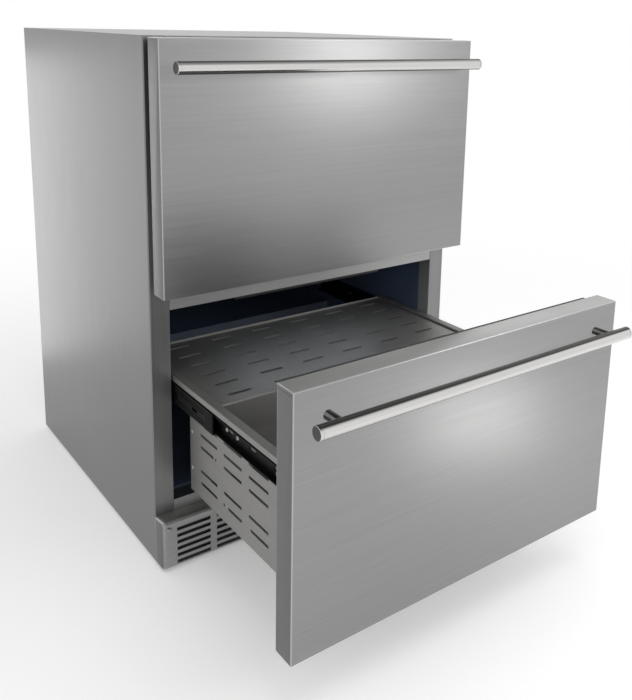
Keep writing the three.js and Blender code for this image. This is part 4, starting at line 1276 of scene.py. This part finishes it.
def makeInnerPanel(drawer):
    node = f"{drawer}_inner_panel"
    low, high = boxOf(node)
    sheet, frame = panelSet["sheet"], panelSet["frame"]
    panel = bevelAlong(blockBetween(f"{drawer}InnerPanel", low, high), "y", panelSet["corner"])
    pickEdges(panel, lambda middle, along: middle.y > high[1] - onPlane)
    bevelPicked(panel, panelSet["round"], 4)
    room = blockWithin("room", low, high, (sheet, -past, sheet), (sheet, sheet, sheet))
    cutWith(panel, bevelAlong(room, "y", panelSet["corner"] - sheet))
    face = high[1]
    grooveLow = (low[0] + frame, face - panelSet["grooveDepth"], low[2] + frame)
    grooveHigh = (high[0] - frame, face + past, high[2] - frame)
    groove = ringBetween("groove", grooveLow, grooveHigh, panelSet["grooveWidth"], panelSet["grooveCorner"])
    cutWith(panel, groove)
    standIn(panel, node)


for drawer in drawers:
    makeSeal(drawer)
    makeInnerPanel(drawer)
print("seals and inner panels made")


# screen behind the grille's slots: a black sheet that also puts painted shade behind them
screenSet = {
    "behindFace": 0.0045,
    "thickness": 0.0015,
    "margin": 0.008,
    "standing": 0.0006,     # above the grille's lower edge
    "round": 0.0005,
    "flangeInset": 0.001,   # the flange behind its top is this much shorter
    "flangeFront": 0.0008,
    "flangeHalf": 0.001,
    "flangeRear": 0.002,
}


def makeScreen():
    low, high = boxOf("toe_grille")
    front = low[1] + screenSet["behindFace"]
    margin = screenSet["margin"]
    left, right, top = low[0] + margin, high[0] - margin, high[2] - margin
    end = (right, front + screenSet["thickness"], top)
    screen = blockBetween("grilleScreen", (left, front, low[2] + screenSet["standing"]), end)
    roundEdges(screen, screenSet["round"], 1)
    inset, half = screenSet["flangeInset"], screenSet["flangeHalf"]
    flangeLow = (left + inset, front + screenSet["flangeFront"], top - half)
    flangeHigh = (right - inset, high[1] - screenSet["flangeRear"], top + half)
    uniteWith(screen, blockBetween("flange", flangeLow, flangeHigh))
    finished(screen, "black_plastic", "cabinet")


makeScreen()


# levelling feet
footSet = {
    "padTop": 0.0057,
    "padBevel": 0.0018,
    "grips": 18,
    "gripRadius": 0.0011,
    "threadPitch": 0.00150,
    "threadDepth": 0.0007,
    "threadSpare": 0.003,    # of the stud's length, without thread
    "studRadius": 0.005,
    "studLength": 0.0035,    # of its plain part
}


def footSolid(name, low, high):
    x, y, z = middleOf(low, high)
    padTop = footSet["padTop"]
    radius = (high[0] - low[0]) / 2
    pad = rodAlong(name, "z", radius, (x, y, low[2]), padTop - low[2], 72)
    roundEdges(pad, footSet["padBevel"])
    for turn in range(footSet["grips"]):
        angle = 2 * math.pi * turn / footSet["grips"]
        place = (x + radius * math.cos(angle), y + radius * math.sin(angle), low[2] - past)
        cutWith(pad, rodAlong("grip", "z", footSet["gripRadius"], place, padTop - low[2] + 2 * past, 12))
    outer, pitch = footSet["studRadius"], footSet["threadPitch"]
    root = outer - footSet["threadDepth"]
    stud = rodAlong("stud", "z", root, (x, y, padTop - past), footSet["studLength"], 20)
    pickFaces(stud, looksAlong("z", 1))
    for turn in range(int((high[2] - padTop - footSet["threadSpare"]) / pitch)):
        for scale in (outer / root, 1 / (outer / root)):
            bpy.ops.mesh.extrude_region_move(TRANSFORM_OT_translate={"value": (0, 0, pitch / 2)})
            bpy.ops.transform.resize(value=(scale, scale, 1), center_override=(x, y, 0))
    leaveEdit()
    return uniteWith(pad, stud)


def makeFeet():
    first = None
    for place in ("front_left", "front_right", "rear_left", "rear_right"):
        node = f"foot_{place}"
        name = f"levellingFoot_{place}"
        low, high = boxOf(node)
        centre = Vector(middleOf(low, high))
        if first is None:
            foot = first = footSolid(name, low, high)
            firstCentre = centre
        else:
            foot = copyOf(first, name)
            bpy.ops.transform.translate(value=(*(centre - firstCentre).xy, 0))
            settled(name)
        standIn(foot, node)


makeFeet()
print("grille screen and feet made")


# back of the case
backSet = {
    "hoodDrop": 0.0065,
    "hoodReach": 0.0026,
    "hoodSheet": 0.0006,
    "hoodWall": 0.0012,      # the room's radius is this much smaller
    "hoodEnd": 0.002,
    "hoodRound": 0.0004,
    "louvreMiddles": (-0.150, 0.040),
    "louvreLength": 0.120,
    "louvreRows": 8,
    "louvreLowest": 0.051,
    "louvrePitch": 0.018,
    "louvreHeight": 0.005,
    "sideScrews": (0.2925, 0.10, 0.165, 5),    # distance from the middle, lowest, pitch, count
    "topScrews": (0.19, 0.822),                # pitch, height
    "screwSize": (0.0042, 0.0022),
}


def ovalRod(name, radius, depth, middle, face, z, length):
    # rod along x, squeezed until it stands out of the face by depth
    rod = rodAlong(name, "x", radius, (middle - length / 2, face, z), length, 40)
    enterEdit(rod, "FACE", "SELECT")
    bpy.ops.transform.resize(value=(1, depth / radius, 1), center_override=(middle, face, z))
    leaveEdit()
    return rod


def makeHoods():
    face = boxOf("rear_panel")[1][1]
    height = backSet["louvreHeight"]
    drop, reach, length = backSet["hoodDrop"], backSet["hoodReach"], backSet["louvreLength"]
    for column, middle in enumerate(backSet["louvreMiddles"]):
        z = backSet["louvreLowest"] + height / 2
        full = length + 2 * backSet["hoodEnd"]
        hood = ovalRod(f"louvreHood_{column}", drop, reach, middle, face, z, full)
        roundEdges(hood, backSet["hoodRound"], 2, 60)
        roomDepth = reach - backSet["hoodSheet"]
        cutWith(hood, ovalRod("room", drop - backSet["hoodWall"], roomDepth, middle, face, z, length))
        cutOff(hood, "z", z - height / 2, -1)
        cutOff(hood, "y", face, -1)
        rowOf(hood, backSet["louvreRows"], (0, 0, backSet["louvrePitch"]))
        finished(hood, "galvanised_steel", "cabinet")


def makeBackScrews():
    face = boxOf("rear_panel")[1][1]
    x, lowest, pitch, count = backSet["sideScrews"]
    places = [(sign * x, face, lowest + number * pitch) for side, sign in sides for number in range(count)]
    pitch, height = backSet["topScrews"]
    places += [(number * pitch, face, height) for number in (-1, 0, 1)]
    for number, centre in enumerate(places):
        head = screwHead(f"backScrew_{number}", centre, "y", 1, *backSet["screwSize"])
        finished(head, "screw_steel", "cabinet")


makeHoods()
makeBackScrews()


# compressor and the inlet's metal pins
compressorSet = {
    "shellRadius": 0.0642,
    "dome": 0.046,
    "bowl": 0.014,
    "weldReach": 0.0018,
    "weldHeight": 0.0044,
    "weldRound": 0.0012,
    "weldRise": 0.084,     # weld of the two half shells above the foot plate
    "plateHalf": 0.062,
    "plateSheet": 0.003,
    "plateRise": 0.0006,   # the plate stands this far up round the shell's foot
    "plateCorner": 0.016,
    "plateRound": 0.0006,
    "footHeight": 0.012,
    "grommetRadius": 0.011,
    "grommetRound": 0.0014,
    "grommetInset": 0.016,
    "boltRadius": 0.0058,
    "boltHeight": 0.004,
    "boltRound": 0.0005,
    "coverLow": (0.050, -0.024, 0.040),    # terminal cover, from the shell's axis and the plate
    "coverHigh": (0.080, 0.024, 0.092),
    "coverRound": 0.004,
}


def makeCompressor():
    sizes = compressorSet
    low, high = boxOf("compressor")
    x, y = middleOf(low, high)[:2]
    seat = low[2] + sizes["footHeight"]
    radius = sizes["shellRadius"]
    shell = rodAlong("compressorShell", "z", radius, (x, y, seat), high[2] - seat, 96)
    for sign, width, segments in ((1, sizes["dome"], 14), (-1, sizes["bowl"], 5)):
        pickFaces(shell, looksAlong("z", sign))
        bevelPicked(shell, width, segments)
    weldLow = (x, y, seat + sizes["weldRise"])
    weld = rodAlong("weld", "z", radius + sizes["weldReach"], weldLow, sizes["weldHeight"], 96)
    roundEdges(weld, sizes["weldRound"], 3, 60)
    half, sheet = sizes["plateHalf"], sizes["plateSheet"]
    plateTop = seat + sizes["plateRise"]
    plate = blockBetween("plate", (low[0], y - half, seat - sheet), (high[0], y + half, plateTop))
    bevelAlong(plate, "z", sizes["plateCorner"], 6)
    roundEdges(plate, sizes["plateRound"], 2, 60)
    uniteWith(shell, weld, plate)
    standIn(shell, "compressor")
    inset = sizes["grommetInset"]
    places = (y - half + inset, y + half - inset)
    corners = [(cornerX, cornerY) for cornerX in (low[0] + inset, high[0] - inset) for cornerY in places]
    height = seat - sheet - low[2]
    for number, corner in enumerate(corners):
        name = f"compressorGrommet_{number}"
        grommet = rodAlong(name, "z", sizes["grommetRadius"], (*corner, low[2]), height, 40)
        roundEdges(grommet, sizes["grommetRound"], 3, 60)
        finished(grommet, "gasket_rubber", "cabinet")
        name = f"compressorBolt_{number}"
        bolt = rodAlong(name, "z", sizes["boltRadius"], (*corner, plateTop), sizes["boltHeight"], 6)
        roundEdges(bolt, sizes["boltRound"], 2)
        finished(bolt, "screw_steel", "cabinet", angle=25)
    coverLow, coverHigh = (Vector((x, y, seat)) + Vector(sizes[key]) for key in ("coverLow", "coverHigh"))
    cover = blockBetween("compressorCover", coverLow, coverHigh)
    roundEdges(cover, sizes["coverRound"], 4)
    finished(cover, "black_plastic", "cabinet")


inletSet = {
    "pinPitch": 0.009,
    "pinHalf": (0.00115, 0.00215),
    "pinDrop": 0.0058,     # pins' ends inside the outer face
    "pinLength": 0.0204,
    "pinRound": 0.0004,
}


def makeInletPins():
    low, high = boxOf("power_inlet")
    x, y, z = middleOf(low, high)
    end = high[1] - inletSet["pinDrop"]
    start = end - inletSet["pinLength"]
    halfX, halfZ = inletSet["pinHalf"]
    for number in range(3):
        middle = x + (number - 1) * inletSet["pinPitch"]
        pinEnd = (middle + halfX, end, z + halfZ)
        pin = blockBetween(f"inletPin_{number}", (middle - halfX, start, z - halfZ), pinEnd)
        roundEdges(pin, inletSet["pinRound"], 2)
        finished(pin, "screw_steel", "cabinet")


makeCompressor()
makeInletPins()
print("compressor and inlet pins made")


# CAD solids that only need their edges broken, and how wide
brokenEdges = {
    "left_side_panel": 0.0005,
    "right_side_panel": 0.0005,
    "top_panel": 0.0006,
    "top_rail": 0.0005,
    "middle_rail": 0.0007,
    "sill_rail": 0.0007,
    "rear_panel": 0.0003,
    "base_pan": 0.0003,
    "power_inlet": 0.0005,
    "control_panel": 0.0010,
    "evaporator_cover": 0.0007,
    "drain_tray": 0.0006,
    "condenser_fan_blade": 0.0004,
    "evaporator_fan_blade": 0.0004,
    "button_colder": 0.0006,
    "button_warmer": 0.0006,
    "button_light": 0.0006,
}
topGreys = ((0.225, 0.225, 0.224), (0.27, 0.27, 0.268))


def caseSteel(node):
    # painted light on the side panels' faces that look into the case: lighter and less metallic
    for side, sign in sides:
        if node == f"{side}_side_panel":
            return brushedSteel(f"{side}CaseSteel", *caseGreys, vertical, 0.40, inwardX=-sign)
    if node == "top_panel":
        # painted light on the top faces, painted shade on the sides, painted highlight along the edges
        return brushedSteel("topSteel", *topGreys, crosswise, 0.40, edgeOf=boxOf(node), topGrey=0.5)
    return None


def breakEdges(node, width):
    # a copy of a CAD solid, its triangles merged, its sharp edges broken and its flat faces evenly lit
    first, *others = node.split("_")
    piece = copyOf(nodes[node], first + "".join(word.capitalize() for word in others))
    enterEdit(piece, "FACE", "SELECT")
    bpy.ops.mesh.remove_doubles(threshold=0.00001)   # the frame's triangles are loose
    bpy.ops.mesh.dissolve_limited(angle_limit=math.radians(1))
    leaveEdit()
    roundEdges(piece, width, 2, 35)
    standIn(piece, node, 40, caseSteel(node))
    applied(piece, "WEIGHTED_NORMAL", keep_sharp=True)
    if node == "top_panel":
        keepGlareOff(piece)


for node, width in brokenEdges.items():
    breakEdges(node, width)
print("case edges and back made")
